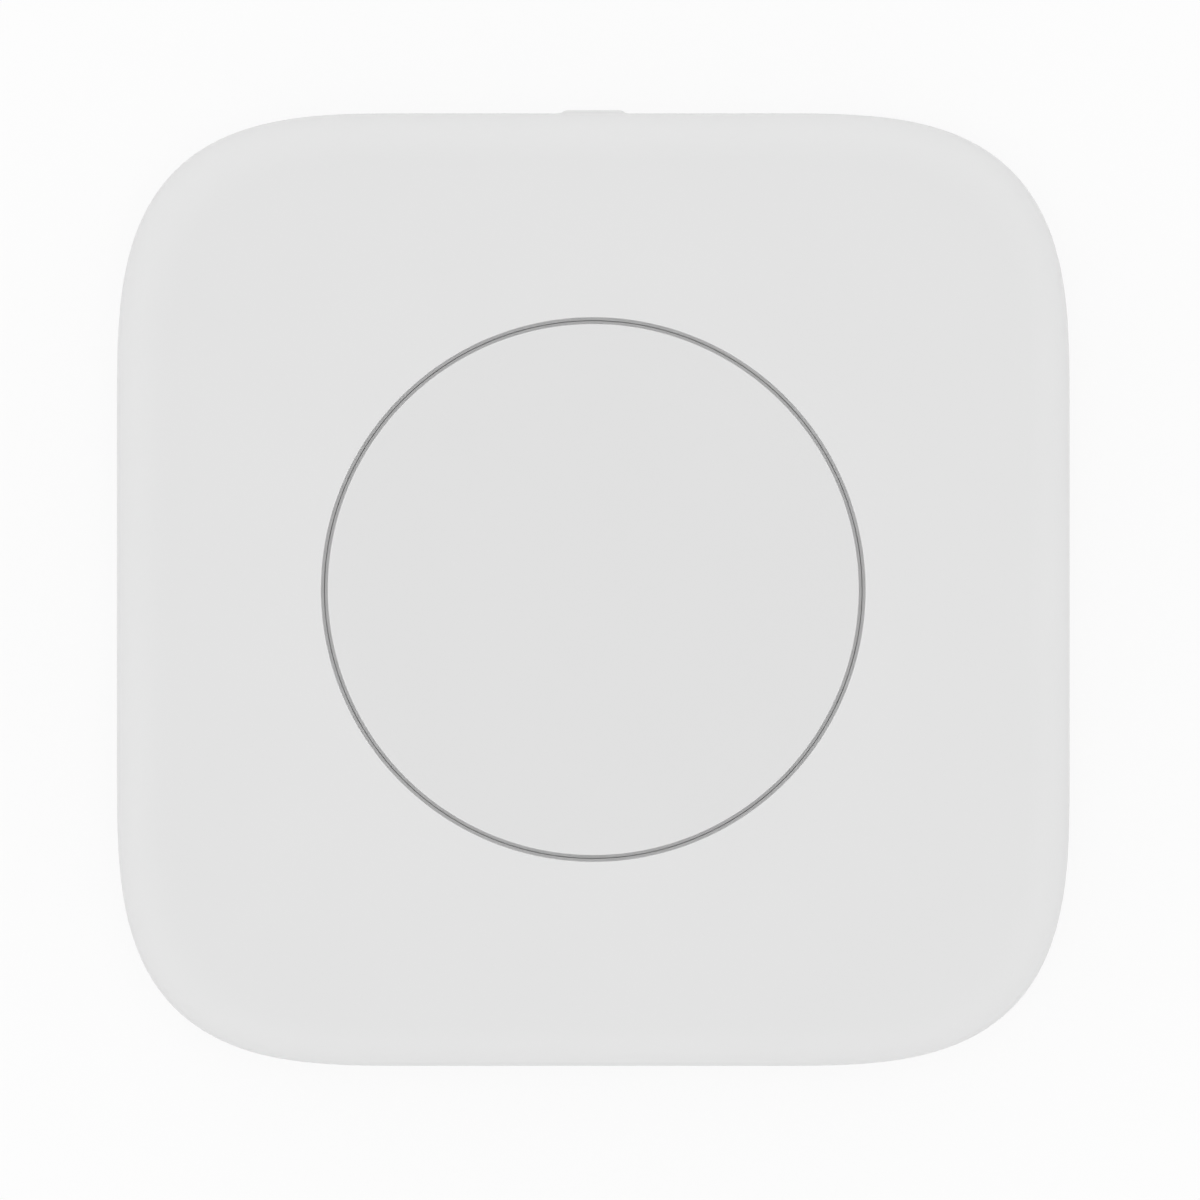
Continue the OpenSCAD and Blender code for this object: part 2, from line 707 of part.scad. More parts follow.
front_housing();
rear_cover();
adhesive_pad();
button_cap();
button_pad();
return_spring();
light_ring();
main_board();
board_screws();
switch_base();
switch_terminals();
switch_dome();
switch_plunger();
switch_frame();
status_led();
radio_chip();
crystal();
chip_antenna();
capacitors();
resistors();
cell_holder();
positive_contact();
negative_contact();
cell_can();
cell_gasket();
cell_cap();
cathode_pellet();
cell_separator();
lithium_disc();
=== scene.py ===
# %% [markdown]
# # Smart button
# A smart button is a small radio push button: a round key sits flush in a rounded-square case, and the case
# plugs onto a rear cover that is stuck to a wall. This lesson dresses its construction model in Blender. The
# packed model gives every piece its place and its motion, so loading it comes first. Everything that is made
# later is drawn in the same frame: +Z points out of the key, and z = 0 is the sticky face.

# %% Load the frame
import math

import bmesh
import bpy
import numpy as np
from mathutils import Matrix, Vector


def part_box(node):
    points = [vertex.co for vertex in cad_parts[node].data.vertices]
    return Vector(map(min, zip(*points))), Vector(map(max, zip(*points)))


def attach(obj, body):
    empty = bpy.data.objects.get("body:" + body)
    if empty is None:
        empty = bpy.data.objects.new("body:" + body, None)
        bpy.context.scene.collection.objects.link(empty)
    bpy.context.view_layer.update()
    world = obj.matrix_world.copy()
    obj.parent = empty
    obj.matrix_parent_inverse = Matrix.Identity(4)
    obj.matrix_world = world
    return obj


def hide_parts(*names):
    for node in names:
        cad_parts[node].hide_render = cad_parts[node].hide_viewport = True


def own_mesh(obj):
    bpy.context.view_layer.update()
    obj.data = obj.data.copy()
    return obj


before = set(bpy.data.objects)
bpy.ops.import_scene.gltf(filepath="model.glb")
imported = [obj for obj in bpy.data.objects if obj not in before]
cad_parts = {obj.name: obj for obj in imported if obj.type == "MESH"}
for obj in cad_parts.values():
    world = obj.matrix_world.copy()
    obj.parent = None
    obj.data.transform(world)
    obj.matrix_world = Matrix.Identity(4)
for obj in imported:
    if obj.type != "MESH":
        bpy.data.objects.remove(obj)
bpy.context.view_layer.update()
MM = 0.001  # metres in a millimetre, the unit of the sizes below

# %% [markdown]
# ## Sizes
# Most places can be read from the boxes of the packed nodes, and a piece that is fitted to such a box can't
# drift away from what it stands for. Only what a box doesn't tell is written here as a number, in
# millimetres: the corner curve, the wall thicknesses and the roundings. Small edges share five radii.


# %% Sizes of the case
def box_mm(node):
    """Lowest and highest corner of a node, in millimetres."""
    low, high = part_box(node)
    return np.array(low) / MM, np.array(high) / MM


housing_low, housing_high = box_mm("front_housing")
cover_low, cover_high = box_mm("rear_cover")
key_low, key_high = box_mm("button_cap")

corner_reach, corner_power = 14.0, 3.2
crown_r = 560.0
wall, roof_t, lip_t = 1.6, 1.6, 0.7
side_draft = 0.15
front_edge_r, back_edge_r = 2.2, 1.3
seam_gap, touch_gap = 0.12, 0.05
button_d, button_gap = 25.3, 0.22
groove_w, groove_depth, groove_slit = 0.31, 0.47, 0.024
flange_t = 0.7
crisp_r, fine_r, small_r, edge_r, soft_r = 0.05, 0.06, 0.1, 0.12, 0.15
root = 0.2  # how far a rib, a boss or a stop is sunk into the wall that carries it


def ring_radii(width):
    """Inner and outer radius of a ring of that width, in the middle of the gap round the key."""
    return (button_d - width) / 2, (button_d + width) / 2


half_w, half_l = housing_high[:2]
case_h = key_high[2]


def dome_z(radius):
    """Height of the domed front at a distance from its middle: its top, less r^2 / (2 crown_r)."""
    return case_h - radius**2 / (2 * crown_r)


lip_z = housing_low[2]
seam_z = lip_z - seam_gap
tongue_z = cover_high[2]
cap_r, bore_r = ring_radii(button_gap)
groove_r0, groove_r1 = ring_radii(groove_w)
step_r, ledge_r = ring_radii(groove_slit)
groove_z = dome_z(groove_r1) - groove_depth
flange_z1 = key_low[2] + flange_t
print("case", np.round([2 * half_w, 2 * half_l, case_h], 2), "mm, key", round(2 * cap_r, 2), "mm across")

# %% [markdown]
# ## From a profile to a mesh
# A moulded piece is a profile with rounded corners, carried round an axis or along an outline. In Blender it
# could be modelled by hand and finished with a Bevel modifier, but then each rounding depends on the mesh
# under it. Here the profile already has its true arcs, numpy turns it into a grid of points, and each grid
# cell becomes one quad. Where a grid meets itself, at a seam or at a pole, the double points are merged, so
# the surface is closed.


# %% Lines with rounded corners
def rounded(corners, radii, steps=6):
    """Open line through the corners, with each inner corner turned into an arc of its radius.

    The arc starts radius / tan(half angle) from the corner, and its centre is on the corner's bisector.
    """
    corners = np.array(corners, float)
    runs = [corners[:1]]
    share = np.linspace(0, 1, steps + 1)[:, None]
    for before, corner, after, radius in zip(corners, corners[1:], corners[2:], radii):
        back = (before - corner) / np.linalg.norm(before - corner)
        ahead = (after - corner) / np.linalg.norm(after - corner)
        half = math.acos(np.clip(back @ ahead, -1, 1)) / 2
        centre = corner + (back + ahead) / np.linalg.norm(back + ahead) * radius / math.sin(half)
        start = corner + back * radius / math.tan(half) - centre
        end = corner + ahead * radius / math.tan(half) - centre
        sweep = math.pi - 2 * half
        arc = np.sin((1 - share) * sweep) * start + np.sin(share * sweep) * end
        runs.append(centre + arc / math.sin(sweep))
    return np.concatenate([*runs, corners[-1:]])


def refined(line, longest):
    """The same line, with every stretch cut into equal steps no longer than that."""
    cuts = [max(1, math.ceil(np.linalg.norm(b - a) / longest)) for a, b in zip(line, line[1:])]
    runs = [np.linspace(a, b, n, endpoint=False) for a, b, n in zip(line, line[1:], cuts)]
    return np.concatenate([*runs, line[-1:]])


print("points on a rounded corner:", len(rounded([(0, 0), (1, 0), (1, 1)], [small_r])))


# %% Turned surfaces
def turned(line, centre=(0, 0), steps=160):
    """Line of (radius, height) points carried round a vertical axis: x = r cos a, y = r sin a."""
    angle = np.linspace(0, 2 * np.pi, steps + 1)
    radius, height = line[:, :1], line[:, 1:]
    x = centre[0] + radius * np.cos(angle)
    y = centre[1] + radius * np.sin(angle)
    return np.stack([x, y, height + 0 * angle], axis=-1)


print("points round a turned line:", turned(np.array([(1.0, 0.0)])).shape[1] - 1)

# %% From grids to a mesh
SHARP_ANGLE = math.radians(32)
MERGE_DISTANCE = 1e-7


def closed_mesh(name, grids):
    """Mesh of quads from grids in millimetres, with double points merged, and how many edges stay open."""
    starts = np.cumsum([0] + [grid.shape[0] * grid.shape[1] for grid in grids])
    quads = []
    for grid, start in zip(grids, starts):
        corner = start + np.arange(grid.shape[0] * grid.shape[1]).reshape(grid.shape[:2])
        cells = [corner[:-1, :-1], corner[:-1, 1:], corner[1:, 1:], corner[1:, :-1]]
        quads.append(np.stack(cells, axis=-1).reshape(-1, 4))
    points = np.concatenate([grid.reshape(-1, 3) for grid in grids]) * MM
    mesh = bpy.data.meshes.new(name)
    mesh.from_pydata(points.tolist(), [], np.concatenate(quads).tolist())
    tidy = bmesh.new()
    tidy.from_mesh(mesh)
    bmesh.ops.remove_doubles(tidy, verts=tidy.verts, dist=MERGE_DISTANCE)
    bmesh.ops.recalc_face_normals(tidy, faces=tidy.faces)
    open_edges = sum(not edge.is_manifold for edge in tidy.edges)
    tidy.to_mesh(mesh)
    tidy.free()
    mesh.shade_smooth()
    mesh.set_sharp_from_angle(angle=SHARP_ANGLE)
    return mesh, open_edges


print("edges stay sharp from", round(math.degrees(SHARP_ANGLE)), "degrees")

# %% From a mesh to a piece
FINISH = "_finish"  # what the name of a finish ends with, after the name of its material slot


def placed(name, data):
    """New object in the scene, at the origin."""
    new = bpy.data.objects.new(name, data)
    bpy.context.scene.collection.objects.link(new)
    return new


def make_piece(name, grids, body, finish, nodes=()):
    """Piece made of grids in millimetres, which rides on a body and stands for the nodes.

    Its one material slot holds the finish.
    """
    mesh, open_edges = closed_mesh(name, grids)
    mesh.materials.append(finish)
    piece = placed(name, mesh)
    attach(piece, body)
    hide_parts(*nodes)
    print(name, "faces:", len(mesh.polygons), "open edges:", open_edges)
    return piece


print("a finish is named after its slot, with", FINISH)

# %% [markdown]
# ## Writing shaders as sums
# A finish is a small sum: a colour plus a little noise, or a mask times another colour. In the node editor
# that is many boxes and wires. Here a class wraps one output socket, so that plus and times on it add Math
# nodes, and one method makes every other kind of node. The finishes below then read like the sums that they
# are.


# %% The socket class
class Wire:
    """An output socket of a shader tree. Arithmetic on it adds Math nodes."""

    def __init__(self, tree, socket=None):
        self.tree = tree
        self.socket = socket

    def add(self, kind, settings=None, inputs=None, output=0):
        """New node of that kind: first its settings, then a value or a Wire for each input."""
        node = self.tree.nodes.new(kind)
        for name, value in (settings or {}).items():
            setattr(node, name, value)
        for key, value in (inputs or {}).items():
            if isinstance(value, Wire):
                self.tree.links.new(value.socket, node.inputs[key])
            else:
                node.inputs[key].default_value = value
        return Wire(self.tree, node.outputs[output] if node.outputs else None)

    def math(self, operation, *values):
        """Math node on numbers and Wires."""
        return self.add("ShaderNodeMath", {"operation": operation}, dict(enumerate(values)))

    def __add__(self, other):
        return self.math("ADD", self, other)

    def __sub__(self, other):
        return self.math("SUBTRACT", self, other)

    def __rsub__(self, other):
        return self.math("SUBTRACT", other, self)

    def __mul__(self, other):
        return self.math("MULTIPLY", self, other)

    def __abs__(self):
        return self.math("ABSOLUTE", self)

    __radd__ = __add__
    __rmul__ = __mul__

    def ramp(self, low, high):
        """0 up to low and 1 from high on, with a smooth change between. High may be the lower number."""
        ends = {"Value": self, "From Min": low, "From Max": high}
        return self.add("ShaderNodeMapRange", {"interpolation_type": "SMOOTHSTEP"}, ends)

    def tint(self, off, on):
        """Colour that goes from off to on as this mask goes from 0 to 1."""
        off, on = [colour if isinstance(colour, Wire) else (*colour, 1.0) for colour in (off, on)]
        return self.add("ShaderNodeMix", {"data_type": "RGBA"}, {0: self, 6: off, 7: on}, output=2)


print("a Wire can also:", [name for name in vars(Wire) if not name.startswith("_")])


# %% Helpers for finishes
def empty_tree(owner):
    """Wire on the emptied shader tree of a material or a world."""
    owner.use_nodes = True
    owner.node_tree.nodes.clear()
    return Wire(owner.node_tree)


def start_finish(name):
    """New material, and the place on the piece in millimetres."""
    material = bpy.data.materials.new(name + FINISH)
    place = empty_tree(material).add("ShaderNodeTexCoord", output="Object")
    return material, place.add("ShaderNodeVectorMath", {"operation": "SCALE"}, {0: place, "Scale": 1 / MM})


def speckle(mm, size, stretch=(1, 1, 1), detail=2.0):
    """Noise from about -0.5 to 0.5, in blobs about that many millimetres across before the stretch."""
    there = mm.add("ShaderNodeVectorMath", {"operation": "DIVIDE"}, {0: mm, 1: stretch})
    noise = mm.add("ShaderNodeTexNoise", None, {"Vector": there, "Scale": 1 / size, "Detail": detail})
    return noise - 0.5


def axes(mm):
    """The x, y and z of a place."""
    split = mm.add("ShaderNodeSeparateXYZ", None, {0: mm})
    return [Wire(mm.tree, socket) for socket in split.socket.node.outputs]


def scaled(colour, factor):
    """Colour made lighter or darker."""
    return tuple(channel * factor for channel in colour)


def end_finish(material, sockets, height, relief):
    """Principled shader with these sockets. Height is a bump of that relief in millimetres."""
    wire = Wire(material.node_tree)
    bump = wire.add("ShaderNodeBump", None, {"Height": height, "Distance": relief * MM})
    shader = wire.add("ShaderNodeBsdfPrincipled", None, sockets | {"Normal": bump})
    wire.add("ShaderNodeOutputMaterial", None, {"Surface": shader})
    print(material.name, "nodes:", len(material.node_tree.nodes))
    return material


print("white made a tenth darker:", scaled((1, 1, 1), 0.9))

# %% [markdown]
# ## Matte moulded plastic
# The case and the key are white plastic from a mould with a fine spark-eroded texture, which is what makes
# such cases matte. A single colour with a high roughness would come close, but it looks like paper. So a fine
# grain lifts the surface by a few thousandths of a millimetre, and a slow cloud changes colour and gloss by
# about one percent, as flow in the mould does. The key comes from another mould and is a shade darker than
# the case.


# %% Moulded finishes
def moulded(name, colour, roughness, cloud_size=7.0, grain=0.16, relief=0.003, change=0.008):
    """Moulded plastic: slow clouds in colour and gloss, and a fine grain in gloss and height."""
    material, mm = start_finish(name)
    cloud = speckle(mm, cloud_size)
    fine = speckle(mm, grain, detail=3.0)
    shade = cloud + 0.4 * fine + 0.5
    sockets = {
        "Base Color": shade.tint(scaled(colour, 1 - change), scaled(colour, 1 + change)),
        "Roughness": roughness + 0.06 * cloud + 0.08 * fine,
    }
    return end_finish(material, sockets, fine, relief)


case_plastic = moulded("case_plastic", (0.753, 0.753, 0.753), roughness=0.46)
button_plastic = moulded("button_plastic", (0.735, 0.735, 0.735), roughness=0.46)
black_plastic = moulded("black_plastic", (0.022, 0.022, 0.024), roughness=0.5, change=0.15)

# %% [markdown]
# ## The case's outline
# Seen from the front, the case is a square whose corners are neither arcs nor straight cuts: the curve starts
# so gently that no line shows where the side ends. A superellipse gives that. Each ring round the case is a
# spine, which runs along the four sides, plus a spoke that swings through the corners, so moving a ring
# inwards only shortens the spokes. All of the case's surfaces then share the same steps round it, and they
# line up.

# %% Spine and spokes
side_steps, corner_steps = 44, 48
side_crowding = 1.6  # above 1, the steps crowd towards the middle of a side, where the tab and the scoop are
edge_spare = 1.03  # the rounding of a leaning side ends a little further in than its radius


def case_spokes():
    """Spine and spoke at each step round the case, where a ring is spine + (corner_reach - inset) * spoke.

    Along a side, the spine moves and the spoke is square to it. In a corner the spine stands still, and the
    spoke is (cos a, sin a) / (cos^m a + sin^m a)^(1/m), the superellipse of power m.
    """
    run = np.linspace(0, 1, side_steps + 1)[:, None] ** side_crowding
    full, none = np.ones_like(run), np.zeros_like(run)
    turn = np.linspace(0, np.pi / 2, corner_steps + 1)[1:-1, None]
    swing = np.hstack([np.cos(turn), np.sin(turn)])
    swing /= np.sum(swing**corner_power, axis=1, keepdims=True) ** (1 / corner_power)
    pivot = np.array([half_w, half_l]) - corner_reach
    along = np.concatenate([np.hstack([full, run]), np.ones_like(swing), np.hstack([run, full])[::-1]])
    outward = np.concatenate([np.hstack([full, none]), swing, np.hstack([none, full])])
    quarters = [(1, 1, 1), (-1, 1, -1), (-1, -1, 1), (1, -1, -1)]
    around = [[half[::way] * (x, y) for x, y, way in quarters] for half in (pivot * along, outward)]
    return [np.concatenate([first, *(part[1:] for part in rest)]) for first, *rest in around]


spine, spoke = case_spokes()
face_inset = side_draft + edge_spare * front_edge_r
heading = spine + (corner_reach - face_inset) * spoke
heading /= np.linalg.norm(heading, axis=1, keepdims=True)
print("steps round the case:", len(spine) - 1)


# %% Soft steps
def smooth_step(value, low, high):
    """0 below low, 1 above high, and 3 t^2 - 2 t^3 between, where t is the share of the way."""
    t = np.clip((value - low) / (high - low), 0, 1)
    return t * t * (3 - 2 * t)


def within(value, limit, soft):
    """1 for less than the limit and 0 for more, with a smooth change of that width."""
    return smooth_step(-value, -limit - soft / 2, -limit + soft / 2)


print("halfway over a soft step:", smooth_step(0.5, 0, 1))


# %% Surfaces that follow the outline
def rows(inset=0.0, radius=0.0, blend=0.0, height=0.0, domed=0.0):
    """Rows of a case surface, from numbers and equally long arrays."""
    return np.stack(np.broadcast_arrays(inset, radius, blend, height, domed), axis=-1).reshape(-1, 5)


def outline_rows(line, domed=0.0):
    """Rows that keep to the outline, from a line of (inset, height) points."""
    return rows(inset=line[:, 0], height=line[:, 1], domed=domed)


def circle_rows(line):
    """Rows that are circles, from a line of (radius, height) points."""
    return rows(radius=line[:, 0], blend=1.0, height=line[:, 1])


def between_poles(line, steps=8):
    """Rows along a line of (inset, height) points, with rows from the middle before it and to it after."""
    inward = np.linspace(0, 1, steps)[1:]
    before, after = [rows(inset, 0, inward, height) for inset, height in (line[0], line[-1])]
    return np.concatenate([before[::-1], outline_rows(line), after])


def case_surface(table, dent=0.0):
    """Grid of rows and steps round the case.

    In plan, a point is the outline moved in by its row's inset and by the dent, mixed by the row's blend
    with a circle of the row's radius. Its z is the row's height, less r^2 / (2 crown_r) where it is domed.
    """
    inset, radius, blend, height, domed = np.moveaxis(table, -1, 0)[..., None]
    ring = spine + (corner_reach - inset - dent)[..., None] * spoke
    plan = (1 - blend)[..., None] * ring + (blend * radius)[..., None] * heading
    fall = domed * np.sum(plan**2, axis=-1) / (2 * crown_r)
    return np.concatenate([plan, (height - fall)[..., None]], axis=-1)


def top_side_window(width, soft):
    """1 along that width in the middle of the case's +Y side, and 0 elsewhere, with soft ends."""
    along = np.abs(spine[:, 0] + corner_reach * spoke[:, 0])
    return within(along, width / 2, soft) * (spoke[:, 1] == 1)


print("the front falls by", round(case_h - dome_z(half_w), 2), "mm from its middle to its side")

# %% [markdown]
# ## Front shell
# The front shell is the piece in the photograph: sides with a slight draft, a soft front edge, a barely domed
# face and a round opening for the key. It could be cut from a block with booleans, but those leave long thin
# faces that shade badly on a soft white surface. Here one closed profile goes up the side, over the face,
# down the opening, round the collar, back under the roof and down the inside to the lip. It starts as the
# square outline and becomes a circle on the way, so the grid flows from one to the other. A shallow scoop for
# a fingernail is pressed into the lip above the pry tab, and four screw bosses hang from the roof.

# %% Profile of the front shell
collar_t, collar_fillet = 1.2, 0.25
groove_round, seam_round = 0.02, 0.14
rim_margin = 0.4  # plain ring that is kept round a rounded rim
notch_w, notch_soft, notch_depth = 8.0, 1.6, lip_t / 2
notch_h, notch_full_h = 0.7, 0.1
tongue_clear = 0.08
edge_steps, face_steps, roof_steps, longest_step = 14, 14, 8, 0.35
inner_edge_r = front_edge_r - wall
collar_z = flange_z1 + touch_gap
roof_z = dome_z(half_w) - roof_t
shoulder_z = tongue_z + 2 * tongue_clear


def front_shell_grid():
    """Closed profile of the shell, round the case."""
    rim_r, collar_r = bore_r + rim_margin, bore_r + collar_t
    outside = [(lip_t, lip_z), (0, lip_z), (side_draft, case_h), (face_inset, case_h)]
    outside = refined(rounded(outside, [seam_round, front_edge_r], edge_steps), longest_step)
    face = rows(face_inset, rim_r, np.linspace(0, 1, face_steps)[1:-1], case_h, 1.0)
    opening = rounded(
        [
            (rim_r, dome_z(rim_r)), (groove_r1, dome_z(groove_r1)), (groove_r1, groove_z),
            (ledge_r, groove_z), (ledge_r, collar_z), (collar_r, collar_z), (collar_r, roof_z),
            (collar_r + rim_margin, roof_z),
        ],
        [fine_r, groove_round, groove_round, small_r, soft_r, collar_fillet],
    )
    top_inset = wall + side_draft
    roof_inset = top_inset + edge_spare * inner_edge_r
    roof = rows(roof_inset, collar_r + rim_margin, np.linspace(1, 0, roof_steps)[1:-1], roof_z)
    inside = [(roof_inset, roof_z), (top_inset, roof_z), (wall, shoulder_z)]
    inside = rounded([*inside, (lip_t, shoulder_z), (lip_t, lip_z)], [inner_edge_r, crisp_r, small_r])
    inset, height = outside.T
    dome_starts, dome_is_full = lip_z + notch_h, case_h - front_edge_r
    domed = np.clip((height - dome_starts) / (dome_is_full - dome_starts), 0, 1)
    parts = [outline_rows(outside, domed), face, circle_rows(opening), roof, outline_rows(inside)]
    table = np.concatenate(parts)
    depth = 1 - smooth_step(height, lip_z + notch_full_h, lip_z + notch_h)
    depth = np.append(depth * np.clip(1 - inset / lip_t, 0, 1), np.zeros(len(table) - len(outside)))
    return case_surface(table, notch_depth * depth[:, None] * top_side_window(notch_w, notch_soft))


print("the roof is", round(roof_z - collar_z, 2), "mm above the stop for the key's flange")

# %% Screw bosses and the whole shell
boss_r, boss_hole_r, boss_steps = 2.2, 0.72, 48
hole_spare = 0.2
screw_head_r = 1.5
screw_low, screw_high = box_mm("board_screws")
boss_x, boss_y = screw_high[:2] - screw_head_r
boss_places = [(x, y) for x in (-boss_x, boss_x) for y in (-boss_y, boss_y)]
boss_z, boss_root_z = box_mm("return_spring")[0][2], roof_z + root
hole_z = screw_high[2] + hole_spare
boss_line = rounded(
    [
        (0, hole_z), (boss_hole_r, hole_z), (boss_hole_r, boss_z), (boss_r, boss_z), (boss_r, boss_root_z),
        (0, boss_root_z),
    ],
    [small_r, small_r, soft_r, small_r],
)
bosses = [turned(boss_line, place, boss_steps) for place in boss_places]
make_piece("front_shell", [front_shell_grid(), *bosses], "front", case_plastic, ["front_housing"])

# %% [markdown]
# ## Blotched finishes
# Silicone, ceramics and milky plastic aren't even: dust, firing and haze leave soft blotches in them. A
# painted texture could show these, but the mesh would have to be unwrapped for it. Noise in space needs no
# unwrapping, so one function makes all such finishes: the same noise shifts the colour between two shades,
# the gloss, and the height by a hundredth of a millimetre at most.


# %% Blotched finishes
def blotched(name, dark, light, roughness, size, change=0.15, relief=0.006, detail=4.0, extra=None):
    """Finish with blotches of that size between two colours, and with extra constants for its shader."""
    material, mm = start_finish(name)
    blotch = speckle(mm, size, detail=detail)
    sockets = {"Base Color": (blotch + 0.5).tint(dark, light), "Roughness": roughness + change * blotch}
    return end_finish(material, sockets | (extra or {}), blotch, relief)


silicone = blotched("silicone", (0.14, 0.15, 0.16), (0.2, 0.21, 0.22), 0.5, 0.5, change=0.2, relief=0.01)

# %% [markdown]
# ## Key
# The key is a turned shape: a cap that continues the dome of the case, a skirt, and a flange that stops
# against the collar. Spin or Screw would make it from a drawn profile, but the profile is already numbers
# here. Its top edge and the edge of the opening have the same small rounding, which is what softens the thin
# ring between them. Just below, a step on the key and a ledge in the opening leave only a slit, so the ring
# looks grey and not black. Under the cap there are six ribs and a post with a silicone pad, which meets the
# switch.


# %% Discs and blocks
def disc_line(radius, low, high, edges):
    """Half the section of a disc, from its lower pole to its upper one, with its two edges rounded."""
    return rounded([(0, low), (radius, low), (radius, high), (0, high)], edges)


def rounded_block(low, high, radius, steps=3):
    """Block that fills a box: a corner of a smaller box, plus the radius times a direction on the sphere.

    Rows go from the lower pole to the upper one, and columns go once round, a quarter turn for each corner.
    """
    low, high = np.array(low, float), np.array(high, float)
    half = (high - low) / 2
    quarter = np.linspace(0, np.pi / 2, steps + 1)
    turn = np.concatenate([quarter + k * np.pi / 2 for k in range(4)] + [[0]])
    rise = np.concatenate([quarter - np.pi / 2, quarter])[:, None]
    sign_x = np.append(np.repeat([1, -1, -1, 1], steps + 1), 1)
    sign_y = np.append(np.repeat([1, 1, -1, -1], steps + 1), 1)
    sign_z = np.repeat([-1, 1], steps + 1)[:, None]
    x = sign_x * (half[0] - radius) + radius * np.cos(turn) * np.cos(rise)
    y = sign_y * (half[1] - radius) + radius * np.sin(turn) * np.cos(rise)
    z = sign_z * (half[2] - radius) + radius * np.sin(rise) + 0 * turn
    shell = np.stack([x, y, z], axis=-1)
    pole = np.zeros((1, len(turn), 3)) + [0, 0, half[2]]
    return np.concatenate([-pole, shell, pole]) + (low + high) / 2


def spun(grid, angle):
    """The grid turned about the vertical axis."""
    c, s = math.cos(angle), math.sin(angle)
    return grid @ np.array([[c, s, 0], [-s, c, 0], [0, 0, 1]])


print("rows and columns of a rounded block:", rounded_block((0, 0, 0), (1, 1, 1), small_r).shape[:2])

# %% Key and its pad
cap_wall, cap_fillet = 1.2, 0.3
cap_root = 0.3  # how far the post and the ribs are sunk into the cap
post_r, post_h, post_steps = 2.0, 0.8, 48
rib_w, rib_count = 0.9, 6
crown_steps, key_steps = 28, 256
flange_r = key_high[0]
pad_low, pad_high = box_mm("button_pad")
cap_z = pad_high[2] + post_h


def key_grids():
    """Turned cap, turned post and ribs set round it."""
    skirt_r, flange_z0, rib_z1 = cap_r - cap_wall, key_low[2], cap_z + cap_root
    radius = np.linspace(0, cap_r - rim_margin, crown_steps)
    crown = np.stack([radius, dome_z(radius)], axis=-1)
    sides = rounded(
        [
            crown[-1], (groove_r0, dome_z(groove_r0)), (groove_r0, groove_z), (step_r, groove_z),
            (step_r, flange_z1), (flange_r, flange_z1), (flange_r, flange_z0), (skirt_r, flange_z0),
            (skirt_r, cap_z), (0, cap_z),
        ],
        [fine_r, groove_round, groove_round, soft_r, edge_r, edge_r, edge_r, cap_fillet],
    )
    cap = turned(np.concatenate([crown[:-1], sides]), steps=key_steps)
    post = turned(disc_line(post_r, pad_high[2], rib_z1, [small_r, small_r]), steps=post_steps)
    rib_low, rib_high = (post_r / 2, -rib_w / 2, cap_z - post_h / 2), (skirt_r + root, rib_w / 2, rib_z1)
    rib = rounded_block(rib_low, rib_high, small_r)
    return [cap, post, *(spun(rib, 2 * math.pi * k / rib_count) for k in range(rib_count))]


make_piece("button_key", key_grids(), "button", button_plastic, ["button_cap"])
pad_line = disc_line(pad_high[0], pad_low[2], pad_high[2], [edge_r, edge_r])
make_piece("press_pad", [turned(pad_line, steps=post_steps)], "button", silicone, ["button_pad"])

# %% [markdown]
# ## Rear cover
# The rear cover is a shallow tray that stays on the wall. Its rounded back edge, the thin seam under the
# front shell and the small pry tab are all that shows of it while the case is closed. When the case is pulled
# off, its tongue, its ribs and the stop under the coin cell show too. The tray could be an extruded outline
# with a solidify modifier, but its wall has steps. So it is one profile from the middle of the back to the
# middle of the inside, and both ends are poles. The tab is no separate block: the profile swells there by the
# tab's height, with soft ends and a sloping top, as a moulded tab does.

# %% Tray of the rear cover
floor_t, floor_fillet = 1.2, 0.35
recess_round, tongue_round = 0.08, 0.18
tray_steps, tray_longest_step = 8, 0.3
pole_margin = 1.0  # plain band that is kept inside the outline before the rows turn towards a pole
tab_w, tab_soft, tab_rise = 2.9, 0.3, 0.3
tab_slope, tab_fall = 0.6, 0.8
foam_low, foam_high = box_mm("adhesive_pad")
pad_inset, tongue_inset = half_w - foam_high[0], lip_t + tongue_clear
back_z, recess_z = cover_low[2], foam_high[2]
floor_z = back_z + floor_t
tab_proud = cover_high[1] - half_l


def tray_grid():
    """Profile of the tray from the middle of its back to the middle of its inside, round the case."""
    line = rounded(
        [
            (pad_inset + pole_margin, recess_z), (pad_inset, recess_z), (pad_inset, back_z), (0, back_z),
            (0, seam_z), (tongue_inset, seam_z), (tongue_inset, tongue_z), (wall, tongue_z), (wall, floor_z),
            (wall + pole_margin, floor_z),
        ],
        [recess_round, small_r, back_edge_r, seam_round, fine_r, tongue_round, tongue_round, floor_fillet],
        tray_steps,
    )
    table = between_poles(refined(line, tray_longest_step))
    inset, height = table[:, 0], table[:, 3]
    tab_z = back_z + back_edge_r
    tab = smooth_step(height, tab_z, tab_z + tab_rise) * (height <= seam_z)
    tab = tab * (1 - tab_fall * smooth_step(height, seam_z - tab_slope, seam_z))
    tab = tab * np.clip(1 - inset / tongue_inset, 0, 1)
    return case_surface(table, -tab_proud * tab[:, None] * top_side_window(tab_w, tab_soft))


print("the tab stands out by", round(tab_proud, 2), "mm")

# %% Ribs, stop and the whole cover
stop_r, stop_h, stop_steps = 3.0, 0.25, 64
rib_h, rib_clear, rib_drop, rib_bite = 0.8, 0.85, 0.06, 0.7


def rounded_box_line(low, high, radius, steps=3):
    """Closed line round a flat box with rounded corners, from the middle of its lower side."""
    (x0, y0), (x1, y1) = low, high
    middle = (x0 + x1) / 2
    corners = [(middle, y0), (x1, y0), (x1, y1), (x0, y1), (x0, y0), (middle, y0)]
    return rounded(corners, [radius] * 4, steps)


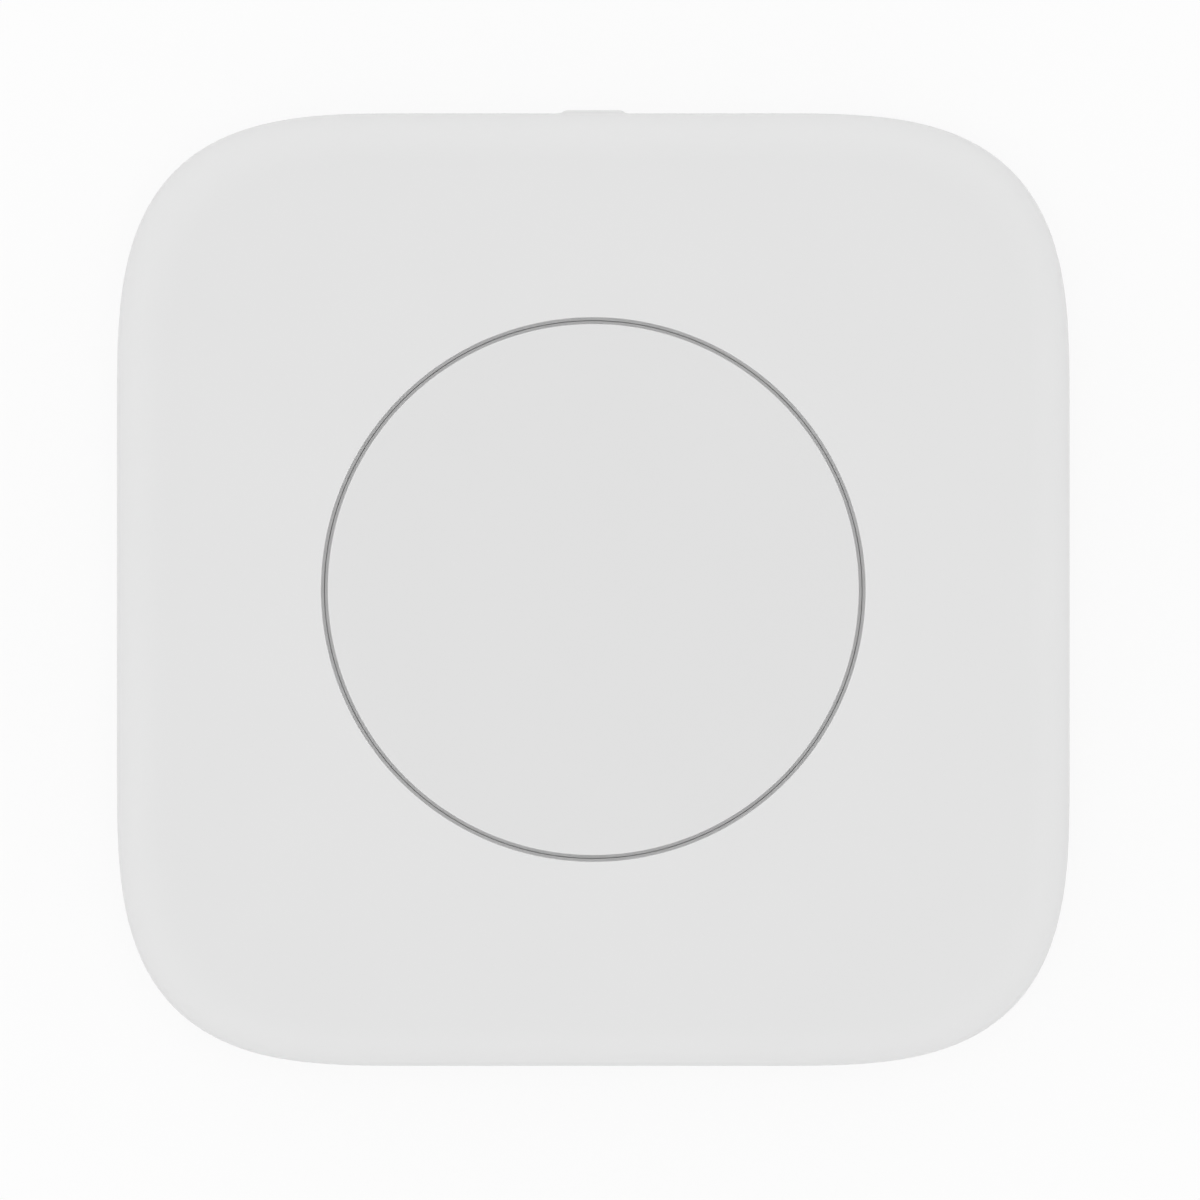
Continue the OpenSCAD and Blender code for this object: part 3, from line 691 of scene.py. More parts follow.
def tray_grids():
    """Tray, stop for the cell, a ring rib, and a rib from it towards each corner."""
    corner_drop = corner_reach * (1 - 0.5 ** (1 / corner_power))
    rib_end = math.hypot(half_w, half_l) - math.sqrt(2) * (corner_drop + rib_bite * wall)
    rib_z0, rib_z1 = floor_z - root, floor_z + rib_h
    ring_r0 = box_mm("cell_holder")[1][0] + rib_clear
    ring = turned(rounded_box_line((ring_r0, rib_z0), (ring_r0 + rib_w, rib_z1), edge_r))
    rib_low, rib_high = (ring_r0 + rib_w / 2, -rib_w / 2, rib_z0), (rib_end, rib_w / 2, rib_z1 - rib_drop)
    rib = rounded_block(rib_low, rib_high, edge_r)
    ribs = [spun(rib, math.radians(angle)) for angle in (45, 135, 225, 315)]
    stop = disc_line(stop_r, rib_z0, floor_z + stop_h, [crisp_r, small_r])
    return [tray_grid(), turned(stop, steps=stop_steps), ring, *ribs]


make_piece("rear_tray", tray_grids(), "base", case_plastic, ["rear_cover"])

# %% [markdown]
# ## Adhesive pad
# The cover sticks to the wall with a die-cut pad of white foam tape, sunk halfway into the cover's back. It
# could be a plain block, but cut foam draws in between its two faces. Both faces rest on something, so they
# stay flat, and only the cut side is pulled in a little. The foam shows its cells on the cut side, and the
# adhesive leaves a slight gloss on the face.

# %% Adhesive pad
foam_pull, foam_waist_r = 0.1, 0.4


def foam_finish():
    """White foam with round cells, and an adhesive film that shines near the sticky face."""
    material, mm = start_finish("foam_tape")
    cells = mm.add("ShaderNodeTexVoronoi", {"feature": "SMOOTH_F1"}, {"Vector": mm, "Scale": 6.0})
    cloud = speckle(mm, size=3.0)
    film = axes(mm)[2].ramp(0.06, 0.01)
    sockets = {
        "Base Color": (cells + 0.4 * cloud).tint((0.8, 0.8, 0.78), (0.66, 0.66, 0.64)),
        "Roughness": 0.9 - 0.45 * film + 0.1 * cloud,
    }
    return end_finish(material, sockets, cells * (1 - 0.8 * film), relief=0.04)


def foam_grid():
    """Pad with flat faces and a drawn-in side, from the middle of one face to the middle of the other."""
    low, high = foam_low[2], foam_high[2]
    deep, waist = pad_inset + pole_margin, (pad_inset + foam_pull, (low + high) / 2)
    line = [(deep, low), (pad_inset, low), waist, (pad_inset, high), (deep, high)]
    return case_surface(between_poles(rounded(line, [fine_r, foam_waist_r, fine_r])))


adhesive_foam = make_piece("adhesive_foam", [foam_grid()], "base", foam_finish(), ["adhesive_pad"])

# %% [markdown]
# ## Metals
# Metal shows inside: nickel-plated contacts, the springs, the screws, the cell's can and the tin on the small
# parts' ends. One metal is told from another by the direction of its marks. Rolled sheet has long streaks, a
# drawn can has rings, and tin is blotchy. Each could have a shader of its own, but only the marks differ. So
# one function makes them all, and it takes the marks as a function.


# %% Metal finishes
def metal(name, colour, roughness, marks, relief=0.002):
    """Metal whose marks, a noise made by the given function of the place, change its colour and gloss."""
    material, mm = start_finish(name)
    mark = marks(mm)
    cloud = speckle(mm, size=2.5)
    sockets = {
        "Base Color": (mark + cloud + 0.5).tint(scaled(colour, 0.93), scaled(colour, 1.05)),
        "Roughness": roughness + 0.14 * mark + 0.1 * cloud,
        "Metallic": 1.0,
    }
    return end_finish(material, sockets, mark, relief)


def ring_marks(mm):
    """Fine rings round the vertical axis: noise of the distance from the axis."""
    flat = mm.add("ShaderNodeVectorMath", {"operation": "MULTIPLY"}, {0: mm, 1: (1, 1, 0)})
    radius = mm.add("ShaderNodeVectorMath", {"operation": "LENGTH"}, {0: flat}, output="Value")
    settings, inputs = {"noise_dimensions": "1D"}, {"W": radius, "Scale": 9.0, "Detail": 3.0}
    return mm.add("ShaderNodeTexNoise", settings, inputs) - 0.5


nickel = metal("nickel", (0.72, 0.69, 0.63), 0.3, lambda mm: speckle(mm, 0.25, stretch=(1, 14, 1)))
spring_steel = metal("spring_steel", (0.62, 0.62, 0.61), 0.32, ring_marks)
screw_steel = metal("screw_steel", (0.55, 0.55, 0.56), 0.34, lambda mm: speckle(mm, 0.3))
cell_steel = metal("cell_steel", (0.7, 0.69, 0.67), 0.27, ring_marks)
tin = metal("tin", (0.66, 0.66, 0.65), 0.42, lambda mm: speckle(mm, 0.35, detail=4.0), relief=0.01)

# %% [markdown]
# ## Coin cell and its holder
# When the case is off its cover, the coin cell shows: a drawn steel can with a rounded edge, held in a black
# ring that has a notch for a fingernail. The can is a turned profile. The ring is a low one with two taller
# arcs on it, which leaves the notch and the contact's slot open without a boolean, so their corners stay
# clean. The positive contact is a strip of sheet that is bent twice, so it is a rounded rectangle carried
# along its bent path.

# %% Coin cell
can_low, can_high = box_mm("cell_can")
can_r, can_t, can_edge_r = can_high[0], 0.3, 0.45
can_steps, can_longest_step = 8, 1.2
can_line = rounded(
    [
        (0, can_low[2]), (can_r, can_low[2]), (can_r, can_high[2]), (can_r - can_t, can_high[2]),
        (can_r - can_t, can_low[2] + can_t), (0, can_low[2] + can_t),
    ],
    [can_edge_r, edge_r, edge_r, soft_r],
    can_steps,
)
can_line = refined(can_line, can_longest_step)
make_piece("coin_cell_can", [turned(can_line)], "front", cell_steel, ["cell_can"])

# %% Cell holder
cell_play, cell_grip_h = 0.2, 0.5
holder_low, holder_high = box_mm("cell_holder")
board_low, board_high = box_mm("main_board")
holder_r0, holder_r1 = can_r + cell_play, holder_high[0]
holder_z0, holder_z1 = can_low[2] + cell_grip_h, board_low[2]
low_h = 0.65
slim = 0.04  # how much slimmer a piece is than one that it is joined to, so that no faces coincide
hook_t, hook_l, hook_round = 0.25, 1.5, 0.08
clip_w, thumb_w, slot_w = 5.0, 9.0, 4.6
peg_r, peg_steps, peg_angles = 0.6, 32, (100, 280)


def half_angle(width):
    """Half the angle that a width takes up on the holder's outside."""
    return math.asin(width / 2 / holder_r1)


def swept(line, start, stop, pole, arc_step=0.04):
    """Closed line of (radius, height) points carried along an arc, with both ends drawn in to the pole."""
    angle = np.linspace(start, stop, math.ceil((stop - start) / arc_step) + 2)
    end = 0 * line + pole
    radius, height = np.moveaxis(np.stack([end, *[line] * len(angle), end]), -1, 0)
    angle = np.concatenate([angle[:1], angle, angle[-1:]])[:, None]
    return np.stack([radius * np.cos(angle), radius * np.sin(angle), height], axis=-1)


def holder_grids():
    """Low full ring, two tall arcs that leave a slot and a thumb notch, a clip with a hook, and pegs."""
    r0, r1, r2 = can_r - hook_l, holder_r0 + slim, holder_r1 - slim
    low_line = rounded_box_line((r1, holder_z1 - low_h), (r2, holder_z1 - slim), small_r)
    tall_line = rounded_box_line((holder_r0, holder_z0), (holder_r1, holder_z1), soft_r)
    slot, thumb, clip = [half_angle(width) for width in (slot_w, thumb_w, clip_w)]
    thumb_at = 1.5 * math.pi
    arcs = [(slot, thumb_at - thumb), (thumb_at + thumb, 2 * math.pi - slot)]
    tall = [swept(tall_line, *arc, tall_line.mean(axis=0)) for arc in arcs]
    z0, z1, z2 = holder_low[2], holder_low[2] + hook_t, holder_z0 + 2 * hook_t
    hook_line = [(r1, z0), (r2, z0), (r2, z2), (r1, z2), (r1, z1), (r0, z1), (r0, z0), (r1, z0)]
    hook_pole = ((r1 + r2) / 2, (z0 + z1) / 2)
    hook = swept(rounded(hook_line, [hook_round] * 6), math.pi - clip, math.pi + clip, hook_pole)
    peg_line = disc_line(peg_r, holder_z1 - low_h / 2, board_high[2], [crisp_r, soft_r])
    peg = turned(peg_line, ((holder_r0 + holder_r1) / 2, 0), peg_steps)
    return [turned(low_line), *tall, hook, *(spun(peg, math.radians(angle)) for angle in peg_angles)]


make_piece("cell_ring", holder_grids(), "front", black_plastic, ["cell_holder"])


# %% Bent strips
def ribbon(path, side, width, thickness, corner=0.04):
    """Flat strip along a path: a rounded rectangle spread along the side and along the path's normal.

    Both ends are drawn in to a point on the path, which closes them.
    """
    ahead = np.gradient(path, axis=0)
    ahead /= np.linalg.norm(ahead, axis=1, keepdims=True)
    up = np.cross(ahead, side)
    loop = rounded_box_line((-width / 2, -thickness / 2), (width / 2, thickness / 2), corner)
    across, above = loop[None, :, :1], loop[None, :, 1:]
    side = np.broadcast_to(side, path.shape)
    strip = path[:, None] + across * side[:, None] + above * up[:, None]
    first, last = 0 * strip[:1] + path[0], 0 * strip[:1] + path[-1]
    return np.concatenate([first, strip, last])


print("points round a strip:", len(rounded_box_line((0, 0), (1, 1), small_r)) - 1)

# %% Positive contact
contact_low, contact_high = box_mm("positive_contact")
contact_t, contact_longest_step = 0.25, 0.5
upper_bend_r, lower_bend_r = 0.25, 0.3
contact_z0, contact_z1 = contact_low[2] + contact_t / 2, contact_high[2] - contact_t / 2
leg_x = holder_r1 + touch_gap + contact_t / 2
contact_line = rounded(
    [(contact_high[0], contact_z1), (leg_x, contact_z1), (leg_x, contact_z0), (contact_low[0], contact_z0)],
    [upper_bend_r, lower_bend_r],
)
contact_x, contact_z = refined(contact_line, contact_longest_step).T
contact_path = np.stack([contact_x, 0 * contact_x, contact_z], axis=-1)
contact_strip = ribbon(contact_path, np.array([0.0, 1.0, 0.0]), contact_high[1] - contact_low[1], contact_t)
make_piece("cell_contact", [contact_strip], "front", nickel, ["positive_contact"])

# %% [markdown]
# ## Circuit board
# The board carries everything electrical. Its plate with the drilled holes is already right in the packed
# model, so it stays, and only its finish is made here: green solder mask over copper tracks, plated
# through-holes, bare rings round the screws, and raw laminate on the cut edge. Tracks could be modelled, but
# they stand only a few hundredths of a millimetre proud. So they are masks: the board is divided into
# squares, and chance picks tracks along x, tracks along y or plain copper for each square.

# %% Masks on the board
stripe_soft = 0.03


def stripes(axis, spacing, half_width):
    """1 on stripes across an axis and 0 between them: the distance from the nearest one, as a soft mask."""
    away = abs(axis.math("PINGPONG", axis, spacing) - spacing / 2)
    return away.ramp(half_width, half_width - stripe_soft)


def plan_length(x, y):
    """Distance in plan, the root of x^2 + y^2."""
    return x.math("SQRT", x * x + y * y)


def chance_in_squares(mm, size):
    """A random number for each square, the same on both faces, and the distance from its middle."""
    above_all = 100.0  # one step in z that is taller than the board
    corner = mm.add("ShaderNodeVectorMath", {"operation": "SNAP"}, {0: mm, 1: (size, size, above_all)})
    chance = mm.add("ShaderNodeTexWhiteNoise", {"noise_dimensions": "3D"}, {"Vector": corner})
    x, y, _ = axes(mm.add("ShaderNodeVectorMath", {"operation": "SUBTRACT"}, {0: mm, 1: corner}))
    return chance, plan_length(x - size / 2, y - size / 2)


print("stripes fade over", stripe_soft, "mm")

# %% Board finish
track_square, track_spacing, track_half_w = 3.6, 0.45, 0.09
share_along_x, share_along_y = 0.36, 0.34
via_square, via_r, share_of_vias = 1.8, 0.24, 0.2
land_soft = 0.1
cut_from, cut_to = 0.04, 0.02  # depths below a face between which the raw cut edge fades out


def board_finish():
    """Solder mask over tracks, with bare copper round the screws and in through-holes, and a raw edge."""
    material, mm = start_finish("board_laminate")
    x, y, z = axes(mm)
    chance, _ = chance_in_squares(mm, track_square)
    along_x = chance.math("GREATER_THAN", chance, 1 - share_along_x)
    along_y = chance.math("LESS_THAN", chance, share_along_y)
    across_x, across_y = [stripes(axis, track_spacing, track_half_w) for axis in (x, y)]
    track = along_x * across_y + along_y * across_x
    chance, away = chance_in_squares(mm, via_square)
    via = chance.math("GREATER_THAN", chance, 1 - share_of_vias) * away.ramp(via_r, 0.8 * via_r)
    land = plan_length(abs(x) - boss_x, abs(y) - boss_y).ramp(boss_r, boss_r - land_soft)
    bare = land.math("MAXIMUM", land, via)
    middle, half_t = (board_low[2] + board_high[2]) / 2, (board_high[2] - board_low[2]) / 2
    on_face = abs(z - middle).ramp(half_t - cut_from, half_t - cut_to)
    cloud = speckle(mm, size=4.0)
    mask = (track + 0.25 * cloud).tint((0.008, 0.08, 0.034), (0.016, 0.125, 0.052))
    sockets = {
        "Base Color": on_face.tint((0.3, 0.27, 0.1), bare.tint(mask, (0.78, 0.6, 0.3))),
        "Roughness": 0.32 + 0.08 * cloud + 0.06 * track + 0.4 * (1 - on_face),
        "Metallic": bare * on_face,
    }
    return end_finish(material, sockets, (track + bare) * on_face, relief=0.02)


def dress(node, finish):
    """Gives a packed node its finish."""
    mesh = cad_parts[node].data
    mesh.materials.clear()
    mesh.materials.append(finish)


dress("main_board", board_finish())

# %% [markdown]
# ## Screws
# Four small pan-head screws hold the board and the light guide to the bosses. A screw is turned, except for
# its cross recess and its thread. Booleans could cut those, but the screw has a dense polar grid anyway. So
# its face is pushed in where the cross is, and its shank is drawn in along a helix.

# %% Screws
shank_r, screw_steps, screw_longest_step = 0.7, 96, 0.08
head_z, seat_z, tip_z = screw_low[2], board_low[2], screw_high[2]
head_round, neck_round, tip_round = 0.4, 0.04, 0.25
cross_w, cross_w_soft, cross_l, cross_l_soft = 0.46, 0.08, 1.84, 0.12
cross_depth, face_h = 0.42, 0.3
thread_pitch, thread_depth = 0.45, 0.14


def screw_grid(place):
    """Turned screw whose face is pushed in where x or y is within the cross's arms.

    On the shank, the radius shrinks by the thread's depth times (1 + cos(a - 2 pi z / pitch)) / 2.
    """
    line = rounded(
        [
            (0, head_z), (screw_head_r, head_z), (screw_head_r, seat_z), (shank_r, seat_z), (shank_r, tip_z),
            (0, tip_z),
        ],
        [head_round, fine_r, neck_round, tip_round],
    )
    grid = turned(refined(line, screw_longest_step), steps=screw_steps)
    x, y, z = np.abs(np.moveaxis(grid, -1, 0))
    across_x, across_y = [within(side, cross_w / 2, cross_w_soft) for side in (x, y)]
    along_x, along_y = [within(side, cross_l / 2, cross_l_soft) for side in (x, y)]
    wave = np.arctan2(grid[..., 1], grid[..., 0]) - 2 * np.pi * z / thread_pitch
    on_shank = smooth_step(z, board_high[2], board_high[2] + thread_pitch) * (z < tip_z - thread_pitch / 2)
    grid[..., :2] *= (1 - thread_depth / shank_r * on_shank * (1 + np.cos(wave)) / 2)[..., None]
    grid[..., 2] += cross_depth * np.maximum(across_x * along_y, across_y * along_x) * (z < head_z + face_h)
    return grid + [*place, 0]


screws = [screw_grid(place) for place in boss_places]
make_piece("pan_screws", screws, "front", screw_steel, ["board_screws"])

# %% [markdown]
# ## Small parts
# On the back of the board there are a radio chip, a crystal, a ceramic antenna and two rows each of
# capacitors and resistors. These are rounded blocks with tinned ends. They could be one block with two
# materials, but the metal ends stand proud of the body. So one block function fills the box of each body and
# of each end, and the places in a row come from the packed node's own box, so that nothing has to be measured
# twice.

# %% Finishes of the small parts
lead_spacing, lead_half_w = 0.25, 0.1
lead_h, lead_soft = 0.2, 0.02
side_from, side_to = 0.02, 0.01  # depths below the chip's sides between which a face counts as one of them


def chip_finish():
    """Dark resin, with tinned leads along the edges beside the board."""
    material, mm = start_finish("chip_resin")
    x, y, z = axes(mm)
    high_x, _, high_z = box_mm("radio_chip")[1]
    fine = speckle(mm, size=0.12, detail=4.0)
    across_x, across_y = [stripes(axis, lead_spacing, lead_half_w) for axis in (x, y)]
    near_board = z.ramp(high_z - lead_h - lead_soft, high_z - lead_h)
    side_x = abs(x).ramp(high_x - side_from, high_x - side_to)
    lead = near_board * (side_x * across_y + (1 - side_x) * across_x)
    resin = (fine + 0.5).tint((0.012, 0.012, 0.013), (0.03, 0.03, 0.031))
    sockets = {
        "Base Color": lead.tint(resin, (0.66, 0.66, 0.65)),
        "Roughness": 0.55 + 0.2 * fine,
        "Metallic": lead,
    }
    return end_finish(material, sockets, fine, relief=0.006)


capacitor_ceramic = blotched("capacitor_ceramic", (0.3, 0.2, 0.12), (0.42, 0.3, 0.19), 0.5, 0.5)
resistor_ceramic = blotched("resistor_ceramic", (0.012, 0.012, 0.014), (0.03, 0.03, 0.034), 0.4, 0.4)
antenna_ceramic = blotched("antenna_ceramic", (0.6, 0.58, 0.52), (0.72, 0.7, 0.64), 0.4, 0.8)
dress("radio_chip", chip_finish())

# %% Places of the small parts
small_w, small_l, small_count = 0.8, 1.6, 4


def row_boxes(node, along):
    """Box of each part in the two rows of a node, whose parts lie along x (0) or along y (1)."""
    low, high = box_mm(node)
    across = 1 - along
    boxes = []
    for place in np.linspace(low[across], high[across] - small_w, small_count):
        for start in (low[along], high[along] - small_l):
            part_low, part_high = low.copy(), high.copy()
            part_low[across], part_high[across] = place, place + small_w
            part_low[along], part_high[along] = start, start + small_l
            boxes.append((part_low, part_high))
    return boxes


capacitor_boxes, resistor_boxes = row_boxes("capacitors", 1), row_boxes("resistors", 0)
print("capacitors:", len(capacitor_boxes), "resistors:", len(resistor_boxes))

# %% Bodies and tinned ends
end_share, end_proud, end_round, end_steps = 0.2, 0.03, 0.07, 2
lid_inset = np.array([0.15, 0.15, 0.0])


def bodies_and_ends(boxes, along):
    """A rounded body for each box, a little slimmer than it, and a tinned end on either side."""
    bodies = [rounded_block(low + end_proud, high - end_proud, crisp_r, end_steps) for low, high in boxes]
    ends = []
    for low, high in boxes:
        reach = (1 - end_share) * (high - low) * np.eye(3)[along]
        ends.append(rounded_block(low, high - reach, end_round, end_steps))
        ends.append(rounded_block(low + reach, high, end_round, end_steps))
    return bodies, ends


capacitor_bodies, capacitor_ends = bodies_and_ends(capacitor_boxes, 1)
resistor_bodies, resistor_ends = bodies_and_ends(resistor_boxes, 0)
antenna_bodies, antenna_ends = bodies_and_ends([box_mm("chip_antenna")], 0)
crystal_low, crystal_high = box_mm("crystal")
crystal_base_low = [*crystal_low[:2], (crystal_low[2] + crystal_high[2]) / 2]
crystal_base = rounded_block(crystal_base_low, crystal_high, fine_r)
crystal_lid = rounded_block(crystal_low + lid_inset, crystal_high - lid_inset, edge_r)
make_piece("capacitor_bodies", capacitor_bodies, "front", capacitor_ceramic, ["capacitors"])
make_piece("resistor_bodies", resistor_bodies, "front", resistor_ceramic, ["resistors"])
make_piece("antenna_body", antenna_bodies, "front", antenna_ceramic, ["chip_antenna"])
make_piece("crystal_can", [crystal_base, crystal_lid], "front", nickel, ["crystal"])
make_piece("tinned_ends", capacitor_ends + resistor_ends + antenna_ends, "front", tin)

# %% [markdown]
# ## Spring, snap dome and light guide
# Under the key's flange lies a finger spring on a clear ring, which also spreads the light of the status
# lamp. The spring and the switch's snap dome are pressed flat by the key, and a rigid piece would cut through
# the key then. Shape keys could show that in Blender alone, but the pieces have to follow the key's joint
# elsewhere too. Here each only gets a mesh of its own, and keeps its shape.

# %% Finger spring
spring_low, spring_high = box_mm("return_spring")
spring_t, finger_t = 0.2, 0.18
spring_r0, spring_r1 = cap_r - cap_wall, spring_high[0]
finger_count, finger_l, finger_steps = 4, 7.0, 24
finger_r, finger_w = (spring_r0 + spring_r1) / 2, (spring_r1 - spring_r0) / 2


def finger_grid(start):
    """Strip along an arc of the ring, which rises by a cosine ramp from the ring to the flange."""
    share = np.linspace(0, 1, finger_steps)
    angle = start + share * finger_l / finger_r
    rise = (spring_high[2] - spring_low[2] - spring_t) * (1 - np.cos(np.pi * share)) / 2
    outward = np.stack([np.cos(angle), np.sin(angle), 0 * angle], axis=-1)
    path = finger_r * outward + (spring_low[2] + spring_t / 2 + rise)[:, None] * [0, 0, 1]
    return ribbon(path, outward, finger_w, finger_t)


def flattens(piece):
    """Gives a piece a mesh of its own, which no other object shares."""
    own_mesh(piece)


spring_ring_high = (spring_r1, spring_low[2] + spring_t)
spring_ring = turned(rounded_box_line((spring_r0, spring_low[2]), spring_ring_high, crisp_r))
fingers = [finger_grid(2 * math.pi * k / finger_count) for k in range(finger_count)]
finger_spring = make_piece("finger_spring", [spring_ring, *fingers], "front", spring_steel, ["return_spring"])
flattens(finger_spring)

# %% Snap dome
dome_low, dome_high = box_mm("switch_dome")
dome_t, dome_line_steps, dome_steps = 0.08, 20, 64


def snap_dome_grid():
    """Turned parabola z = top - rise * share^2, and the same line one thickness lower on the way back."""
    share = np.linspace(0, 1, dome_line_steps)
    rise = dome_high[2] - dome_low[2] - dome_t
    over = np.stack([dome_high[0] * share, dome_high[2] - rise * share**2], axis=-1)
    return turned(np.concatenate([over, (over - [0, dome_t])[::-1]]), steps=dome_steps)


snap_dome = make_piece("snap_dome", [snap_dome_grid()], "front", spring_steel, ["switch_dome"])
flattens(snap_dome)

# %% Light guide
guide_low, guide_high = box_mm("light_ring")
rim_gap, rim_t = 0.3, 1.1
guide_r0, guide_r1 = spring_r0 - touch_gap, flange_r + rim_gap
guide_r2 = guide_r1 + rim_t
branch_root = 0.4  # how far an arm or the inlet is sunk into the rim
arm_w, arm_round, arm_stop = 3.4, 0.08, 1.2
foot_hole_r, foot_steps = 1.0, 48
inlet_w = 2 * small_l


def guide_grids():
    """L-shaped section turned into a ring, an arm and a drilled foot for each screw, and the lamp's inlet."""
    z0, z1, z2 = guide_low[2], spring_low[2], guide_high[2]
    seam = ((guide_r0 + guide_r2) / 2, z0)
    outer = [(guide_r2, z0), (guide_r2, z2), (guide_r1, z2)]
    inner = [(guide_r1, z1), (guide_r0, z1), (guide_r0, z0)]
    section = rounded([seam, *outer, *inner, seam], [small_r] * 6, 3)
    reach, branch_r = math.hypot(boss_x, boss_y), guide_r1 + branch_root
    arm_low, arm_high = (branch_r, -arm_w / 2, z0 + slim), (reach - arm_stop, arm_w / 2, z1 - slim)
    arm = rounded_block(arm_low, arm_high, arm_round)
    foot = turned(rounded_box_line((foot_hole_r, z0), (boss_r, z1), fine_r), steps=foot_steps) + [reach, 0, 0]
    bearings = [math.atan2(y, x) for x, y in boss_places]
    inlet_low = (-inlet_w / 2, branch_r, z1 + touch_gap)
    inlet = rounded_block(inlet_low, (inlet_w / 2, guide_high[1], z2 - touch_gap), small_r)
    return [turned(section), inlet, *(spun(part, angle) for angle in bearings for part in (arm, foot))]


milky = {"IOR": 1.49, "Transmission Weight": 0.35}
clear_plastic = blotched(
    "clear_plastic", (0.76, 0.79, 0.81), (0.84, 0.86, 0.87), 0.28, 1.6, relief=0.01, detail=2.0, extra=milky
)
make_piece("light_guide", guide_grids(), "front", clear_plastic, ["light_ring"])

# %% [markdown]
# ## Pieces that stay as they are
# The rest of the inside is already right in the packed model: the switch's housing, the lamp, the spring
# contact under the board and what is inside the coin cell. Modelling them again would add nothing, so each
# only gets its finish. None of these is a flat colour either, because an exported piece is looked at by
# itself.

# %% Finishes of the packed nodes
seal_plastic = moulded("seal_plastic", (0.11, 0.17, 0.3), 0.45, change=0.08)
pellet = blotched("pellet", (0.012, 0.012, 0.012), (0.035, 0.034, 0.033), 0.85, 0.25)
separator_film = blotched("separator_film", (0.76, 0.76, 0.73), (0.88, 0.88, 0.86), 0.8, 0.3)
lithium = metal("lithium", (0.5, 0.5, 0.49), 0.5, lambda mm: speckle(mm, 0.6, detail=4.0))
for node, finish in (
    ("switch_base", black_plastic), ("switch_plunger", black_plastic), ("switch_terminals", nickel),
    ("switch_frame", spring_steel), ("status_led", clear_plastic), ("negative_contact", nickel),
    ("cell_gasket", seal_plastic), ("cell_cap", cell_steel), ("cathode_pellet", pellet),
    ("cell_separator", separator_film), ("lithium_disc", lithium),
):
    dress(node, finish)
print("packed nodes still shown:", sorted(n for n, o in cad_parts.items() if not o.hide_render))

# %% [markdown]
# ## Floor and light
# The photograph was taken in even light on white, so the case shows hardly any shadow and its edges are a
# touch brighter than its face. Many lamps could imitate that, but a white world does it directly, as a light
# tent does. The tent is brightest low down, so the rounded edges get as much light as the face. The paper
# throws little light back up, so the upright sides are darker, and the case keeps its shape from other
# angles. One large soft lamp adds a direction. To the camera the paper is white: mostly a glow, and the rest
# keeps a soft shadow.

# %% Floor
floor_half, floor_drop = 3.0, 0.00002  # in metres
paper_level, bounce_level, glow_share = 0.9, 0.4, 0.87


def seen_directly(wire):
    """1 for what the camera sees, also in a mirror or through glass, and 0 for light on a piece."""
    kinds = ("Camera", "Glossy", "Transmission")
    rays = [wire.add("ShaderNodeLightPath", output=f"Is {kind} Ray") for kind in kinds]
    return wire.math("MAXIMUM", rays[0], wire.math("MAXIMUM", rays[1], rays[2]))


def floor_finish():
    """Paper that looks white, partly by its own glow, and that throws little light back up at the sides."""
    material = bpy.data.materials.new("white_floor")
    wire = empty_tree(material)
    greys = [(level, level, level, 1) for level in (paper_level, bounce_level)]
    paper, dim_paper = [wire.add("ShaderNodeBsdfDiffuse", None, {"Color": grey}) for grey in greys]
    glow = wire.add("ShaderNodeEmission", None, {"Strength": 1.0})
    white = wire.add("ShaderNodeMixShader", None, {0: glow_share, 1: paper, 2: glow})
    mixed = wire.add("ShaderNodeMixShader", None, {0: seen_directly(wire), 1: dim_paper, 2: white})
    wire.add("ShaderNodeOutputMaterial", None, {"Surface": mixed})
    return material


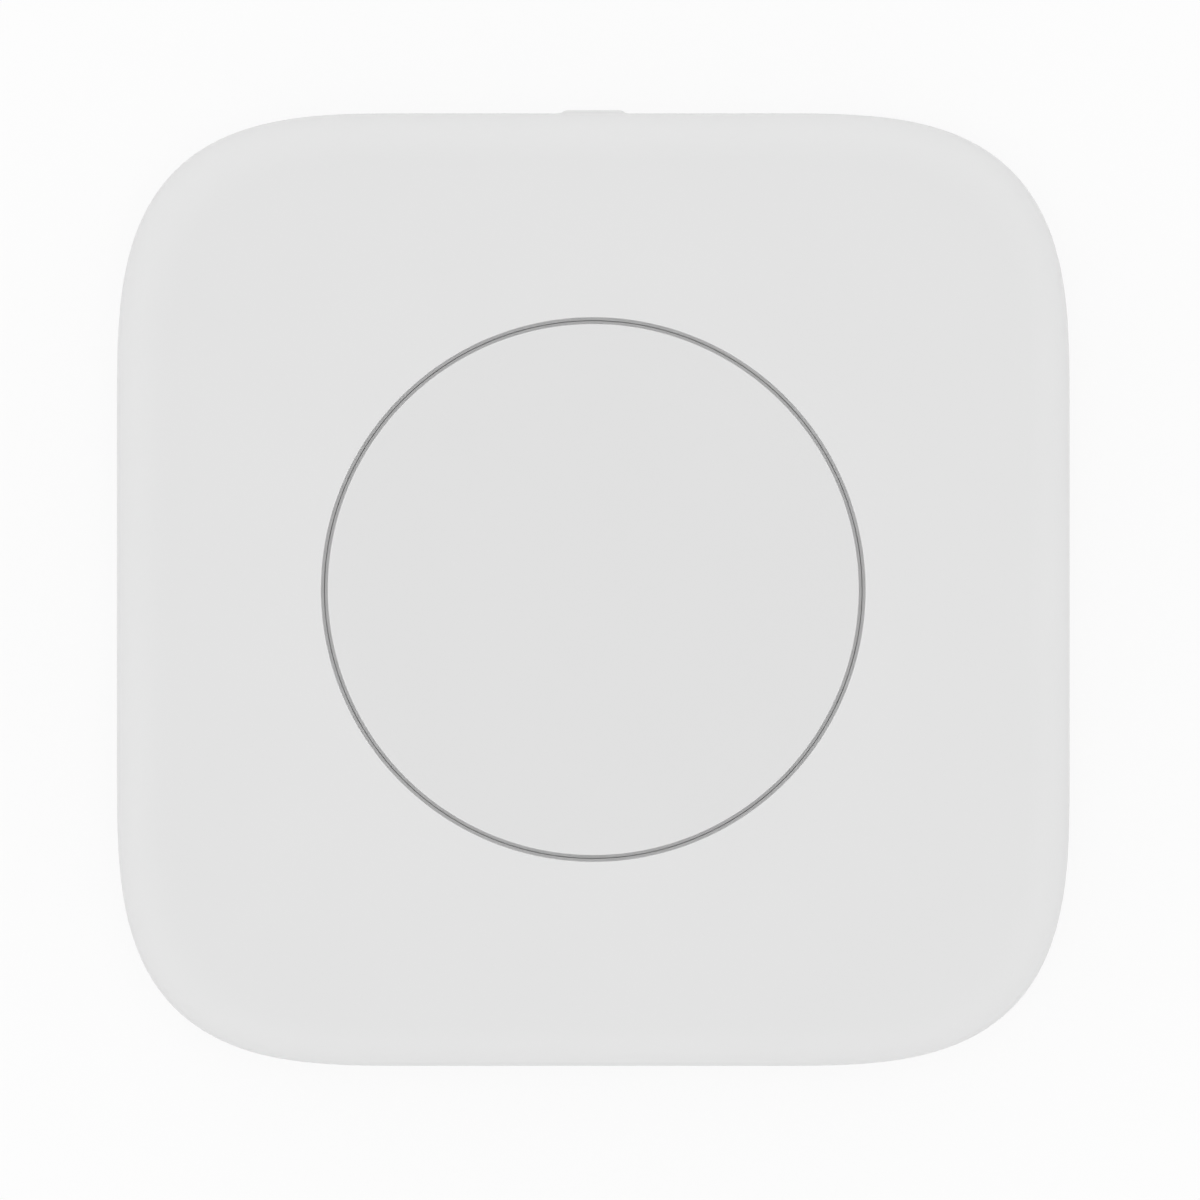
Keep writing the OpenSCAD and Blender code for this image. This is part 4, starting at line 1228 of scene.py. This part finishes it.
floor_mesh = bpy.data.meshes.new("floor")
floor_signs = ((-1, -1), (1, -1), (1, 1), (-1, 1))
floor_corners = [(x * floor_half, y * floor_half, -floor_drop) for x, y in floor_signs]
floor_mesh.from_pydata(floor_corners, [], [(0, 1, 2, 3)])
floor_mesh.materials.append(floor_finish())
placed("floor", floor_mesh)
print("floor", 2 * floor_half, "m across")

# %% Light tent
tent_top, tent_side = 0.43, 2.1

world = bpy.data.worlds.new("light_tent")
sky = empty_tree(world)
direct = seen_directly(sky)
height = axes(sky.add("ShaderNodeTexCoord", output="Generated"))[2]
climb = height.math("MAXIMUM", height, 0.0)
strength = direct + (1 - direct) * (tent_side + (tent_top - tent_side) * climb)
tent = sky.add("ShaderNodeBackground", None, {"Color": (1, 1, 1, 1), "Strength": strength})
sky.add("ShaderNodeOutputWorld", None, {"Surface": tent})
bpy.context.scene.world = world
print("tent from", tent_top, "above to", tent_side, "at the side")

# %% Soft lamp
lamp_power, lamp_size, lamp_place = 0.5, 0.9, (-0.55, 0.45, 1.1)  # in watts and metres

lamp_data = bpy.data.lights.new("soft_lamp", "AREA")
lamp_data.energy = lamp_power
lamp_data.size = lamp_size
lamp = placed("soft_lamp", lamp_data)
lamp.location = lamp_place
lamp.rotation_euler = (-lamp.location).to_track_quat("-Z", "Y").to_euler()
print("lamp", lamp_power, "W,", lamp_size, "m across")

# %% [markdown]
# ## Camera
# The photograph looks straight down on the key from far away, so nothing of the sides shows, and the pry tab
# stands a hair out of the upper edge. An orthographic camera would come close, but a real lens enlarges the
# nearer face a little. A long lens at two metres gives that, and other views keep it. The object isn't quite
# in the middle of the picture, so the camera is moved sideways by that much.

# %% Camera
frame_w, camera_height, sensor_w = 56.69, 2000.0, 36.0  # the picture's width is measured at the seam
camera_off = (0.316, -0.492)

camera_data = bpy.data.cameras.new("photo_camera")
camera_data.sensor_width = sensor_w
camera_data.lens = sensor_w * camera_height / frame_w
camera = placed("photo_camera", camera_data)
camera.location = [n * MM for n in (*camera_off, seam_z + camera_height)]
bpy.context.scene.camera = camera
bpy.context.scene.view_settings.view_transform = "Standard"
print("lens", round(camera_data.lens), "mm")

# %% [markdown]
# ## Size
# The dressed object has to keep the size of the packed model, or it would no longer fit where the model fits.
